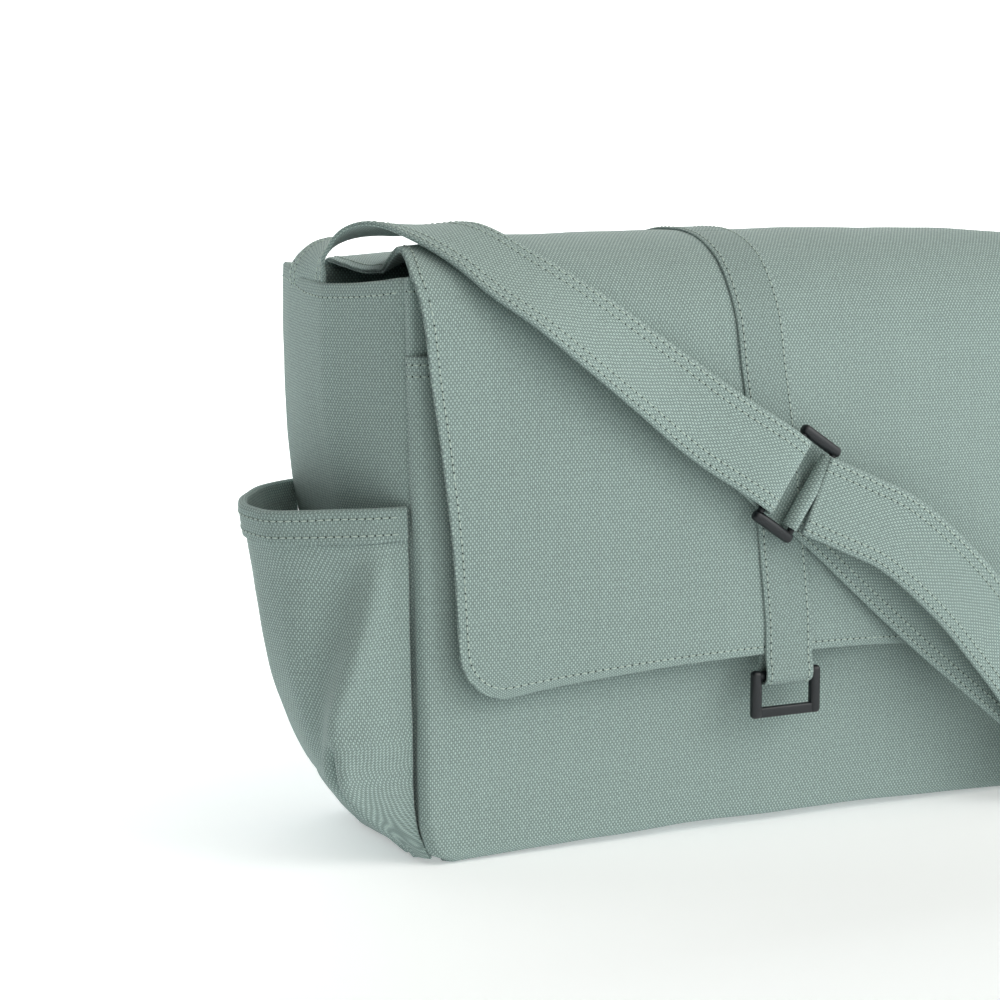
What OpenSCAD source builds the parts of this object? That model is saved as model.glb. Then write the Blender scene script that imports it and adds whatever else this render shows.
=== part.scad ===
// Messenger bag of plain canvas: boxy body, bellows side pockets, wrap-over flap with a
// webbing band and ring, and an adjustable shoulder strap joined by a ring.
// Units mm. Origin at the centre of the base on the floor, +X right, +Y back, +Z up.

/* [Body] */
// Width of the body at the base
base_width = 400; // [340:1:460]
// Depth of the body, front seam to back seam
body_depth = 140; // [100:1:180]
// Height of the rim above the floor
body_height = 310; // [260:1:360]
// How far the rim corners stand out past the base on each side
rim_flare = 10; // [0:1:20]
// How far the side wall bulges at the rim
rim_bulge = 22; // [5:1:35]
// Forward belly of the front panel
front_belly = 8; // [0:0.5:15]
// Thickness of a canvas wall
wall = 2; // [1:0.1:4]

/* [Front pocket] */
// Height of the slip pocket hem above the floor
pocket_height = 270; // [200:1:290]
// Extra bow of the pocket mouth
pocket_bow = 6; // [3:0.5:12]
// Thickness of the pocket canvas
pocket_wall = 1.5; // [1:0.1:3]

/* [Side pockets] */
// Thickness the folded band adds
side_band_ply = 1.6; // [0.8:0.1:3]

/* [Flap] */
// Thickness of each of the two flap layers
flap_ply = 1.5; // [1:0.1:2.5]
// Lowest edge of the flap above the floor
flap_bottom = 90; // [60:1:150]
// rise of the flap's lower edge towards its middle
flap_lift = 13; // [0:1:25]
// How far the flap bellies out at the middle
flap_belly = 13; // [6:0.5:20]
// Width of the webbing band on the flap
band_width = 30; // [20:1:40]
// Thickness of the band
band_ply = 1.5; // [1:0.1:2.5]

/* [Flap ring] */
// Height of the top bar axis of the flap ring
ring_axis_z = 90; // [70:1:110]
// sideways place of the flap ring and the foot of the band
ring_axis_x = 4.5; // [-10:0.5:10]
// Y position of the top bar axis
ring_axis_y = -96; // [-110:0.5:-85]
// Overall width of the flap ring
flap_ring_width = 44; // [36:0.5:52]
// Distance between the two bar axes
flap_ring_pitch = 20.4; // [16:0.2:30]
// Radius of the round top bar
flap_ring_bar = 2.6; // [1.5:0.1:3]

/* [Strap] */
// Width of the shoulder strap
strap_width = 45; // [30:1:60]
// Thickness of the doubled strap canvas
strap_ply = 2.4; // [1.5:0.1:4]
// Slope of the strap at its ring, degrees
strap_slope = 34; // [20:0.5:45]
// Overall length of the strap ring across the strap
strap_ring_span = 60; // [54:0.5:70]
// Distance between the two bars of the strap ring
strap_ring_pitch = 22.6; // [18:0.2:30]
// Radius of the strap ring bars
strap_ring_bar = 2; // [1.5:0.1:2.6]
// Slope of the strap at its slider, degrees
slider_slope = 39.5; // [20:0.5:50]

/* [Hidden] */
$fn = 28;
half_depth = body_depth / 2;
half_width = base_width / 2;
fold_radius = 4.9;
ring_centre = [2.5, -107, 196.5];
slider_centre = [186, -105, 44];

// height -> half width of the front and back panels, bottom corners rounded
panel_half = [[2, half_width - 12], [6, half_width - 3], [12, half_width],
    [24, half_width + 3], [150, half_width + 5], [220, half_width + 8],
    [body_height, half_width + rim_flare]];
// height -> half width of the front flap, bottom corners rounded
flap_half = [[flap_bottom, 159], [flap_bottom + 2, 171], [flap_bottom + 6, 179],
    [flap_bottom + 13, 184], [flap_bottom + 24, 187], [123, 188.2], [166, 191],
    [213, 196.5], [264, 204], [300, 208], [313, 210]];
// Y -> height of the outer face of the flap top along its middle
flap_rise = [[-74.5, 312.8], [-72, 315.5], [-65, 320.5], [-56, 325], [-44, 328.5],
    [-28, 330.3], [-10, 330], [10, 327.5], [35, 323.5], [55, 320], [66, 317.5],
    [71, 315], [72.9, 313.2]];
// height -> X of the middle of the band, which leans a little to the left
band_lean = [[90, ring_axis_x], [110, 4], [200, -5], [260, -11], [313, -13]];
// height -> Y of the outer face of the flap front along its side edges
flap_edge_y = [[280, -85], [292, -83.6], [302, -80.5], [308, -77.7], [312.8, -74.5]];
// Y -> half width of the flap top
flap_top_half = [[-74.5, 210], [-56, 207], [-30, 204], [0, 199], [30, 196.5], [72.9, 196]];
// Y -> how much the free side edges of the flap top sink
flap_droop = [[-74.5, 0], [-60, 0], [-50, 1.5], [-40, 6], [-28, 13.5], [-17, 18],
    [0, 17], [20, 14.5], [50, 7], [72.9, 0]];
// column along the side wall, front to back -> share of the bulge
side_end = half_depth - wall - 0.05;
side_y = [-side_end, -52, -32, -10, 12, 38, 56, side_end];
side_share = [0, 0.4, 0.74, 1.03, 1.04, 0.98, 0.85, 0.45];
// height -> bulge of the side wall
side_bulge = [[5, 1], [20, 2], [50, 4], [80, 7], [150, 14], [200, 20], [250, 23.5],
    [280, 23.5], [313, rim_bulge]];
// side pocket cross-sections, front seam to back: height, then [X out from the bag, Y]
pocket_rows = [
    [8, [[198, -65.5], [201, -63], [203, -57], [204, -46], [204, -28], [203, -10],
        [202, 10], [202, 30], [201.5, 46], [201.5, 58], [201.6, 65]]],
    [18, [[202, -65.5], [209, -64], [214, -59], [215, -46], [213, -28], [211, -10],
        [209, 10], [208, 30], [207, 46], [206, 58], [205.4, 65]]],
    [32, [[204, -65.5], [216, -65], [229, -60], [230, -46], [227, -28], [225.5, -10],
        [220, 10], [213, 30], [209.5, 46], [208, 58], [207.5, 65]]],
    [50, [[205, -65.5], [225, -65.5], [243, -60], [245, -45], [243, -28], [240.5, -10],
        [234, 10], [224, 30], [216, 46], [211, 58], [208.4, 65]]],
    [75, [[205, -65.5], [227, -66], [247, -60], [251, -45], [253, -28], [252, -10],
        [246, 10], [236, 30], [226, 46], [215, 58], [210.1, 65]]],
    [110, [[206, -65.5], [224, -66], [241, -62], [253, -45], [261, -28], [263, -10],
        [257, 10], [246, 30], [234, 46], [220, 58], [212.4, 65]]],
    [150, [[206.5, -65.5], [220, -65], [236, -59], [252, -44], [264, -28], [269, -10],
        [264, 10], [253, 30], [241, 46], [227, 58], [215, 65]]],
    [175, [[207, -65], [222, -62], [239, -54], [256, -42], [269, -28], [272.5, -8],
        [267, 12], [256, 30], [244, 46], [230, 58], [217.6, 65]]],
    [190, [[207.5, -65], [222, -61], [240, -52], [258, -42], [271, -28], [275, -8],
        [269, 12], [258, 30], [246, 46], [231, 58], [219.1, 65]]]];

// ---- sheet and ribbon helpers ----
function unit(v) = v / norm(v);
function clampi(i, n) = max(0, min(n - 1, i));
function face_normal(g, r, c) = let(
    dr = g[clampi(r + 1, len(g))][c] - g[clampi(r - 1, len(g))][c],
    dc = g[r][clampi(c + 1, len(g[0]))] - g[r][clampi(c - 1, len(g[0]))])
    unit(cross(dc, dr));
function shift_grid(g, d) = [for (r = [0:len(g) - 1])
    [for (c = [0:len(g[0]) - 1]) g[r][c] + d * face_normal(g, r, c)]];

// a closed sheet between two grids of the same size, outer grid first
module sheet(outer, inner) {
    nr = len(outer);
    nc = len(outer[0]);
    k = nr * nc;
    polyhedron(points = concat([for (r = outer) each r], [for (r = inner) each r]),
        faces = concat(
            [for (r = [0:nr - 2], c = [0:nc - 2]) each [
                [r * nc + c, (r + 1) * nc + c + 1, r * nc + c + 1],
                [r * nc + c, (r + 1) * nc + c, (r + 1) * nc + c + 1]]],
            [for (r = [0:nr - 2], c = [0:nc - 2]) each [
                [k + r * nc + c, k + r * nc + c + 1, k + (r + 1) * nc + c + 1],
                [k + r * nc + c, k + (r + 1) * nc + c + 1, k + (r + 1) * nc + c]]],
            [for (c = [0:nc - 2]) each [
                [c, c + 1, k + c + 1], [c, k + c + 1, k + c]]],
            [for (c = [0:nc - 2], b = [(nr - 1) * nc]) each [
                [b + c, k + b + c + 1, b + c + 1], [b + c, k + b + c, k + b + c + 1]]],
            [for (r = [0:nr - 2]) each [
                [r * nc, k + (r + 1) * nc, (r + 1) * nc], [r * nc, k + r * nc, k + (r + 1) * nc]]],
            [for (r = [0:nr - 2], e = [nc - 1]) each [
                [r * nc + e, (r + 1) * nc + e, k + (r + 1) * nc + e],
                [r * nc + e, k + (r + 1) * nc + e, k + r * nc + e]]]),
        convexity = 6);
}
module skin(g, up, down) { sheet(shift_grid(g, up), shift_grid(g, -down)); }

// smooth curve through keys [x, y, z, wx, wy, wz], n steps per span
function spline(a, b, c, d, t) = 0.5 * (2 * b + (c - a) * t
    + (2 * a - 5 * b + 4 * c - d) * t * t + (3 * b - a - 3 * c + d) * t * t * t);
function smooth(keys, n) = let(m = len(keys)) concat(
    [for (i = [0:m - 2], j = [0:n - 1]) spline(keys[clampi(i - 1, m)], keys[i],
        keys[i + 1], keys[clampi(i + 2, m)], j / n)], [keys[m - 1]]);
function place(k) = [k[0], k[1], k[2]];
function cross_dir(k) = [k[3], k[4], k[5]];
function ribbon_rows(s, w, side) = [for (i = [0:len(s) - 1]) let(
    d = unit(place(s[clampi(i + 1, len(s))]) - place(s[clampi(i - 1, len(s))])),
    x = unit(cross_dir(s[i]) - (cross_dir(s[i]) * d) * d),
    n = cross(d, x))
    [for (e = [1, -1]) place(s[i]) + e * w / 2 * x + side * strap_ply / 2 * n]];
module ribbon(keys, n) {
    s = smooth(keys, n);
    sheet(ribbon_rows(s, strap_width, 1), ribbon_rows(s, strap_width, -1));
}

// flat strip following a path of 2D points
function path_normal(p, i) = let(
    d = unit(p[clampi(i + 1, len(p))] - p[clampi(i - 1, len(p))])) [-d[1], d[0]];
module strip(p, t) {
    polygon(concat([for (i = [0:len(p) - 1]) p[i] + t / 2 * path_normal(p, i)],
        [for (i = [len(p) - 1:-1:0]) p[i] - t / 2 * path_normal(p, i)]));
}
function arc(c, r, a, b, n) = [for (i = [0:n]) let(q = a + (b - a) * i / n)
    c + r * [cos(q), sin(q)]];

// ---- surfaces of the soft parts ----
function swell(z) = z < 150 ? sin(90 * z / 150) : 0.3 + 0.7 * cos(90 * (z - 150) / 160);
function across(u) = 1 - u * u;
function front_at(u, z) = [u * lookup(z, panel_half),
    -half_depth - front_belly * across(u) * swell(z), z + 4 * across(u) * max(0, 1 - z / 40)];
function pocket_at(u, z) = [u * lookup(z, panel_half),
    -half_depth - 2.2 - pocket_wall + 1.5 - across(u) * (front_belly * swell(z)
        + pocket_bow * max(0, (z - 100) / (pocket_height - 100))),
    z + 4 * across(u) * max(0, 1 - z / 40)];
function back_at(u, z) = [-u * lookup(z, panel_half),
    half_depth + 2 * across(u) * sin(180 * z / body_height), z + 4 * across(u) * max(0, 1 - z / 40)];
function rim_z(c) = [310, 307.5, 305.5, 304.5, 306, 311, 313, 312][c];
function side_at(c, z) = [-lookup(z, panel_half) - side_share[c] * lookup(z, side_bulge),
    side_y[c], z > 305 ? rim_z(c) : z];
function base_at(c, x) = [-x, side_y[c], (abs(side_y[c]) > 60 ? 5 : abs(side_y[c]) > 50 ? 1 : 0)
    * (x > 185 ? 0.5 : 1)];
side_grid = [for (r = [0:10]) let(z = [0, 0, 0, 6, 22, 60, 110, 165, 220, 270, 310][r])
    [for (j = [7:-1:0]) r == 0 ? base_at(j, 0) : r == 1 ? base_at(j, 120)
        : r == 2 ? base_at(j, half_width - 13) : side_at(j, z)]];
mouth_rise = [0, 0.6, 1.2, 2, 2.8, 2, 1, 0.6, 0.2, 0, 0];
side_pocket_grid = [for (r = pocket_rows) [for (j = [10:-1:0]) [
    -r[1][j][0] - wall - 0.3, r[1][j][1], r[0] - (r[0] > 160 ? mouth_rise[j] : 0)]]];
side_band_grid = [for (r = [7, 8]) side_pocket_grid[r]];
function flap_front_at(x, z) = let(u = x / lookup(z, flap_half)) [x,
    lookup(z, flap_edge_y) - flap_belly * across(u) * cos(90 * max(0, z - 200) / 112.8),
    z + flap_lift * across(u) * max(0, 1 - (z - flap_bottom) / 130)];
function flap_top_at(x, y) = let(u = x / lookup(y, flap_top_half))
    [x, y, lookup(y, flap_rise) - lookup(y, flap_droop) * pow(abs(u), 8)];
flap_front_rows = [90, 92, 96, 103, 114, 123, 145, 175, 205, 235, 260, 280, 292, 302, 308, 312.6];
flap_top_rows = [-74.2, -72, -65, -56, -44, -28, -10, 10, 35, 55, 66, 71, 72.7];
flap_cols = [-1, -0.94, -0.8, -0.6, -0.3, 0, 0.3, 0.6, 0.8, 0.94, 1];
flap_front_grid = [for (z = flap_front_rows)
    [for (u = flap_cols) flap_front_at(u * lookup(z, flap_half), z)]];
flap_top_grid = [for (y = flap_top_rows)
    [for (u = flap_cols) flap_top_at(u * lookup(y, flap_top_half), y)]];

// strap routes: left anchor to ring, and the long piece from ring to right anchor
left_arch = [
    [-229.2, 14.6, 312.2, 0, 0.98, 0.19], [-225.4, 12.4, 320.1, 0.27, 0.94, 0.19],
    [-216, 6.6, 326.6, 0.58, 0.81, 0.08], [-208.1, -1.1, 331, 0.77, 0.64, -0.04],
    [-201.5, -10, 333, 0.84, 0.53, -0.13], [-195.7, -19.9, 334.7, 0.88, 0.46, -0.11]];
left_route = [
    [-193.4, -24.4, 335, 0.89, 0.45, -0.08], [-190.3, -30.8, 335.1, 0.9, 0.43, -0.03],
    [-184.8, -42.8, 334.2, 0.91, 0.41, 0.1], [-178, -56.2, 330.9, 0.87, 0.43, 0.23],
    [-168.2, -69.9, 323.1, 0.83, 0.45, 0.33], [-156.7, -82, 312, 0.7, 0.5, 0.5],
    [-140.5, -91.2, 300, 0.62, 0.5, 0.6], [-119.8, -97.8, 284.2, 0.64, 0.4, 0.66],
    [-82.8, -103.2, 256, 0.57, 0.26, 0.78], [-48.7, -107.5, 230, 0.54, 0.04, 0.84],
    [ring_centre[0] - 20 * cos(strap_slope), ring_centre[1] - fold_radius,
        ring_centre[2] + 20 * sin(strap_slope), sin(strap_slope), 0, cos(strap_slope)],
    [ring_centre[0] - 11.3 * cos(strap_slope), ring_centre[1] - fold_radius,
        ring_centre[2] + 11.3 * sin(strap_slope), sin(strap_slope), 0, cos(strap_slope)]];
upper_route = [
    [ring_centre[0] + 21 * cos(strap_slope), ring_centre[1] - fold_radius - 1,
        ring_centre[2] - 21 * sin(strap_slope), 0.56, 0, 0.83],
    [37, -116, 178.8, 0.52, 0, 0.85], [62, -119, 166.5, 0.56, 0, 0.83],
    [100, -121, 135, 0.66, 0, 0.75], [132, -119, 102, 0.7, 0, 0.71],
    [152, -115.5, 80.5, 0.68, 0, 0.73],
    [slider_centre[0] - 27 * cos(slider_slope), slider_centre[1] - 7.8,
        slider_centre[2] + 27 * sin(slider_slope), sin(slider_slope), 0, cos(slider_slope)]];
long_route = [
    [ring_centre[0] + 11.3 * cos(strap_slope), ring_centre[1] + fold_radius,
        ring_centre[2] - 11.3 * sin(strap_slope), 0.56, 0, 0.83],
    [34, -102, 172, 0.64, 0, 0.77], [57, -102, 151.5, 0.677, 0, 0.736],
    [103.6, -102.5, 111.5, 0.66, 0, 0.75],
    [slider_centre[0] - 46 * cos(slider_slope), slider_centre[1],
        slider_centre[2] + 46 * sin(slider_slope), sin(slider_slope), 0, cos(slider_slope)],
    [slider_centre[0], slider_centre[1], slider_centre[2],
        sin(slider_slope), 0, cos(slider_slope)],
    [slider_centre[0] + 34 * cos(slider_slope), slider_centre[1],
        slider_centre[2] - 34 * sin(slider_slope), sin(slider_slope), 0, cos(slider_slope)],
    [236, -99, 26, 0.6, -0.4, 0.6], [257, -83, 34, 0.46, -0.78, 0.4],
    [275, -63, 60, 0.22, -0.95, 0.14], [285, -46, 98, 0.08, -0.98, -0.05],
    [291, -34, 148, 0, -1, -0.1], [293, -22, 200, 0, -1, -0.1],
    [288, -10, 247, 0, -1, -0.08], [277, -2, 282, 0, -1, -0.05]];
right_arch = [
    [276.4, -1.6, 283.4, 0, -1, -0.05], [265, 5, 306, 0, -1, 0], [253, 10, 317.5, 0, -1, 0],
    [242, 13, 321, 0, -1, 0], [233.5, 14.4, 319, 0, -1, 0],
    [229.3, 14.5, 312, 0, -1, -0.02]];

// ================= body =================
// front wall: one layer of canvas, sewn to the side walls
module front_panel() {
    color([0.47, 0.54, 0.51])
        skin([for (z = [1, 5, 14, 26, 50, 90, 150, 210, 265, body_height])
            [for (u = [-1, -0.75, -0.4, 0, 0.4, 0.75, 1]) front_at(u, z)]], 0, wall);
}
// back wall
module back_panel() {
    color([0.47, 0.54, 0.51])
        skin([for (z = [1, 5, 14, 26, 50, 90, 150, 210, 265, body_height])
            [for (u = [-1, -0.75, -0.4, 0, 0.4, 0.75, 1]) back_at(u, z)]], 0, wall);
}
// left side wall running on into the left half of the base
module gusset_left() { color([0.45, 0.52, 0.49]) skin(side_grid, 0, wall); }
// right side wall and the right half of the base
module gusset_right() { color([0.45, 0.52, 0.49]) mirror([1, 0, 0]) skin(side_grid, 0, wall); }
// folded hem turned down inside the rim at front and back
module hem_facing() {
    color([0.42, 0.49, 0.46]) {
        skin([for (z = [288, 309]) [for (u = [-0.97, -0.5, 0, 0.5, 0.97]) front_at(u, z)]],
            -wall - 0.4, wall + 1.6);
        skin([for (z = [288, 309]) [for (u = [-0.97, -0.5, 0, 0.5, 0.97]) back_at(u, z)]],
            -wall - 0.4, wall + 1.6);
    }
}
// slip pocket over the full width of the front
module front_pocket() {
    color([0.48, 0.55, 0.52])
        skin([for (z = [16, 26, 50, 90, 150, 210, 250, pocket_height])
            [for (u = [-0.995, -0.75, -0.4, 0, 0.4, 0.75, 0.995]) pocket_at(u, z)]],
            0, pocket_wall);
}
// bellows side pocket, left
module side_pocket_left() { color([0.48, 0.55, 0.52]) skin(side_pocket_grid, 0, wall); }
// bellows side pocket, right
module side_pocket_right() {
    color([0.48, 0.55, 0.52]) mirror([1, 0, 0]) skin(side_pocket_grid, 0, wall);
}
// folded band on the mouth of the left side pocket
module pocket_band_left() { color([0.46, 0.53, 0.5]) skin(side_band_grid, side_band_ply, -0.1); }
// folded band on the mouth of the right side pocket
module pocket_band_right() {
    color([0.46, 0.53, 0.5]) mirror([1, 0, 0]) skin(side_band_grid, side_band_ply, -0.1);
}
// strip of the flap sewn flat to the top of the back wall
module flap_seam() {
    color([0.46, 0.53, 0.5]) rotate([90, 0, 90]) translate([0, 0, 4 - half_width])
        linear_extrude(base_width - 8)
            strip([[72.3, 280], [72.3, 300], [72.3, 309.4]], 2.6);
}
// fixed end of the strap sewn inside the left side wall
module anchor_left() {
    color([0.44, 0.51, 0.48]) ribbon([[-222, 14.5, 262, 0, 1, 0],
        [-226, 14.5, 280, 0, 1, 0.01], [-228.8, 14.5, 307, 0, 1, 0.02]], 2);
}
// fixed end of the strap sewn inside the right side wall
module anchor_right() {
    color([0.44, 0.51, 0.48]) mirror([1, 0, 0]) ribbon([[-222, 14.5, 262, 0, 1, 0],
        [-226, 14.5, 280, 0, 1, 0.01], [-228.8, 14.5, 307, 0, 1, 0.02]], 2);
}
// lower half of the hidden magnetic snap on the front pocket
module snap_socket() {
    color([0.3, 0.31, 0.32]) translate([0, -81.5, 125]) rotate([90, 0, 0]) {
        cylinder(r = 9, h = 5);
        translate([0, 0, 4.9]) difference() {
            cylinder(r = 9, h = 2);
            translate([0, 0, -1]) cylinder(r = 5, h = 4);
        }
    }
}

// ================= flap =================
// outer canvas of the part of the flap over the top
module flap_top_outer() { color([0.5, 0.57, 0.53]) skin(flap_top_grid, 0, flap_ply); }
// lining under it
module flap_top_lining() {
    color([0.45, 0.52, 0.48]) skin(flap_top_grid, -flap_ply - 0.02, 2 * flap_ply);
}
// band sewn along the middle of the flap top
module band_top() {
    color([0.46, 0.53, 0.5]) skin([for (y = flap_top_rows)
        [for (x = [-1, 0, 1]) flap_top_at(lookup(313, band_lean) + x * band_width / 2, y)]],
        band_ply + 0.1, -0.1);
}
// outer canvas of the hanging front of the flap
module flap_front_outer() { color([0.5, 0.57, 0.53]) skin(flap_front_grid, 0, flap_ply); }
// lining behind it
module flap_front_lining() {
    color([0.45, 0.52, 0.48]) skin(flap_front_grid, -flap_ply - 0.02, 2 * flap_ply);
}
// band sewn down the middle of the flap front
module band_front() {
    color([0.46, 0.53, 0.5]) skin([for (z = [97, 115, 145, 175, 205, 235, 260, 280, 292,
        302, 308, 312.6]) [for (x = [-1, 0, 1])
            flap_front_at(lookup(z, band_lean) + x * band_width / 2, z)]],
        band_ply + 0.1, -0.1);
}
// end of the band looped through the flap ring and sewn back behind the flap
module band_loop() {
    color([0.46, 0.53, 0.5]) rotate([90, 0, 90]) translate([0, 0, ring_axis_x - band_width / 2])
        linear_extrude(band_width) strip(concat([[-98.95, 109], [-99.4, 103], [-99.9, 98], [-100.5, 94]],
            arc([ring_axis_y, ring_axis_z], 4.65, 180, 360, 10),
            [[-92.3, 96], [-93.3, 101], [-93.5, 109]]), band_ply);
}
// upper half of the hidden magnetic snap on the flap lining
module snap_stud() {
    color([0.34, 0.35, 0.36]) translate([0, -94.6, 125]) rotate([-90, 0, 0]) {
        cylinder(r = 8.5, h = 5.7);
        cylinder(r = 3.6, h = 7.4);
    }
}

// ================= flap ring =================
// black ring hanging from the band loop: round top bar, flat bottom bar, thick side rails
module flap_ring() {
    color([0.16, 0.18, 0.2]) translate([ring_axis_x, ring_axis_y, ring_axis_z]) {
        rotate([0, 90, 0]) cylinder(r = flap_ring_bar, h = flap_ring_width - 6, center = true);
        translate([0, 0, -flap_ring_pitch]) cube([flap_ring_width - 6, 3.6, 5.6], center = true);
        for (s = [-1, 1]) translate([s * (flap_ring_width / 2 - 3.1), 0, 0]) hull()
            for (z = [0, -flap_ring_pitch]) translate([0, 0, z]) rotate([90, 0, 0])
                cylinder(r = 3.1, h = 5.2, center = true);
    }
}

// ================= strap =================
// left part of the strap, its end folded round the ring's left bar and sewn back
module strap_left() {
    color([0.52, 0.58, 0.55]) {
        ribbon(left_route, 4);
        translate(ring_centre) rotate([90, 0, 0]) rotate([0, 0, -strap_slope]) fold_left();
    }
}
// the fold in its own frame: x along the strap, y across it, z towards the front
module fold_left() {
    rotate([90, 0, 0]) translate([0, 0, -strap_width / 2]) linear_extrude(strap_width)
        strip(concat([[-11.6, fold_radius]], arc([-11.3, 0], fold_radius, 90, -90, 10),
            [[-15, -4.2], [-20, -1.6], [-26, 0.9], [-32, 2.1], [-38.5, 2.4]]), strap_ply);
}
// fold of the long strap piece round the ring's right bar
module fold_right() {
    rotate([90, 0, 0]) translate([0, 0, -strap_width / 2]) linear_extrude(strap_width)
        strip(concat([[12.4, fold_radius]], arc([11.3, 0], fold_radius, 90, 270, 10),
            [[11.6, -fold_radius]]), strap_ply);
}
// first stretch of the strap, arching out of the left side wall over the flap's corner
module strap_left_arch() { color([0.52, 0.58, 0.55]) ribbon(left_arch, 4); }
// last stretch of the strap, arching down into the right side wall
module strap_right_arch() { color([0.52, 0.58, 0.55]) ribbon(right_arch, 4); }
// long strap piece: round the ring, through the slider, up to the right side wall
module strap_long() {
    color([0.52, 0.58, 0.55]) {
        ribbon(long_route, 4);
        translate(ring_centre) rotate([90, 0, 0]) rotate([0, 0, -strap_slope]) fold_right();
    }
}
// upper layer from the ring down to the slider
module strap_upper() { color([0.52, 0.58, 0.55]) ribbon(upper_route, 4); }

// ================= strap ring =================
// black ring joining the two strap parts
module strap_ring() {
    color([0.16, 0.18, 0.2]) translate(ring_centre) rotate([90, 0, 0])
        rotate([0, 0, -strap_slope]) {
            for (s = [-1, 1]) translate([s * strap_ring_pitch / 2, 0, 0]) rotate([90, 0, 0])
                cylinder(r = strap_ring_bar, h = strap_ring_span - 6, center = true);
            for (s = [-1, 1]) translate([0, s * (strap_ring_span / 2 - 3), 0]) hull()
                for (e = [-1, 1]) translate([e * strap_ring_pitch / 2, 0, 0])
                    cylinder(r = 3, h = 5.6, center = true);
        }
}

// ================= slider =================
// black three-bar slider: outer bars behind the strap, centre bar in front of it
module slider() {
    color([0.16, 0.18, 0.2]) translate(slider_centre) rotate([90, 0, 0])
        rotate([0, 0, -slider_slope]) {
            for (s = [-1, 1]) translate([s * 13, 0, -3]) cube([5, 54, 2.4], center = true);
            translate([0, 0, 5.9]) cube([6, 54, 2.2], center = true);
            for (s = [-1, 1]) translate([0, s * (strap_width / 2 + 4.2), 0]) hull()
                for (e = [-1, 1]) translate([e * 12.5, 0, -4.2]) cylinder(r = 3, h = 11.2);
        }
}
// sewn end of the strap looped round the slider's centre bar
module tail_loop() {
    color([0.52, 0.58, 0.55]) translate(slider_centre) rotate([90, 0, 0])
        rotate([0, 0, -slider_slope]) rotate([90, 0, 0]) translate([0, 0, -strap_width / 2])
            linear_extrude(strap_width) strip([[-18.6, 7.2], [-9, 8.9], [-3, 9.2], [2.8, 8.7],
                [5.2, 6.6], [4.8, 4], [2.4, 3.1], [-4, 2.9], [-10, 3.6], [-18.6, 4.7]], 1.9);
}

front_panel();
back_panel();
gusset_left();
gusset_right();
hem_facing();
front_pocket();
side_pocket_left();
side_pocket_right();
pocket_band_left();
pocket_band_right();
flap_seam();
anchor_left();
anchor_right();
snap_socket();
flap_top_outer();
flap_top_lining();
band_top();
flap_front_outer();
flap_front_lining();
band_front();
band_loop();
snap_stud();
flap_ring();
strap_left();
strap_left_arch();
strap_right_arch();
strap_long();
strap_upper();
strap_ring();
slider();
tail_loop();
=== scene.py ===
# Sizes are in millimetres (MM turns them into metres), in the CAD's own frame: origin at
# the centre of the base on the floor, +X right, +Y back, +Z up.
import math

import bmesh
import bpy
import numpy as np
from mathutils import Matrix, Vector, noise


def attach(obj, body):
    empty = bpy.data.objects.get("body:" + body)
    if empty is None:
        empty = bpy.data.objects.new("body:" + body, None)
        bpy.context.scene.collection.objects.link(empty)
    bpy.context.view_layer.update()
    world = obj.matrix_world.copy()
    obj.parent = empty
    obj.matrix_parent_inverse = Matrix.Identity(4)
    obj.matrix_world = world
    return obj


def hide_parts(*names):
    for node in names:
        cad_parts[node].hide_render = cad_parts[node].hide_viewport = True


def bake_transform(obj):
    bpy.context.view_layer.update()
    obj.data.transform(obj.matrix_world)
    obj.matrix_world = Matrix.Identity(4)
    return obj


MM = 0.001

# ---- camera ----
# A 94 mm lens from the front left, a little above the bag, as in a product shot.
camera = bpy.data.objects.new("camera", bpy.data.cameras.new("camera"))
bpy.context.scene.collection.objects.link(camera)
camera.location = (-0.765, -1.277, 0.382)
camera.rotation_euler = (math.radians(90 - 7.96), 0, math.radians(-26.7))
camera.data.lens = 93.6
camera.data.sensor_width = 36
bpy.context.scene.camera = camera

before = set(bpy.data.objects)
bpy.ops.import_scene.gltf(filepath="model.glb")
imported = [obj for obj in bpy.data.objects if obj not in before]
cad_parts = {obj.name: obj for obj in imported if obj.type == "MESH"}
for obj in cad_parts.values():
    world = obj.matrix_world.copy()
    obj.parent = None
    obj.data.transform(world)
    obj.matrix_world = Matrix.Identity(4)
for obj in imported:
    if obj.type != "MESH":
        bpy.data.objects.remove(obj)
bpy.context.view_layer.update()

# ---- floor and light ----
# A white paper sweep that curves up behind the bag. The surroundings are bright on the right
# in front and dim on the left and behind, and one large soft light stands high on the right
# in front, so the bag's side wall and its pockets fall into soft shade.
PAPER = (0.86, 0.9, 0.91)
SURROUND = 1.02
SURROUND_FROM = Vector((0.58, -0.8, 0.12))
KEY_POWER = 22
KEY_PLACE = Vector((1.6, -1.9, 1.5))
KEY_SIZE = 1.6


def make_mesh(name, verts, faces, smooth=True):
    mesh = bpy.data.meshes.new(name)
    mesh.from_pydata([tuple(v) for v in verts], [], [tuple(int(i) for i in f) for f in faces])
    mesh.polygons.foreach_set("use_smooth", [smooth] * len(mesh.polygons))
    mesh.update()
    obj = bpy.data.objects.new(name, mesh)
    bpy.context.scene.collection.objects.link(obj)
    return obj


def plain_material(name, color, roughness, metallic=0.0):
    material = bpy.data.materials.new(name)
    material.use_nodes = True
    shader = material.node_tree.nodes["Principled BSDF"]
    shader.inputs["Base Color"].default_value = (*color, 1)
    shader.inputs["Roughness"].default_value = roughness
    shader.inputs["Metallic"].default_value = metallic
    return material


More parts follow.
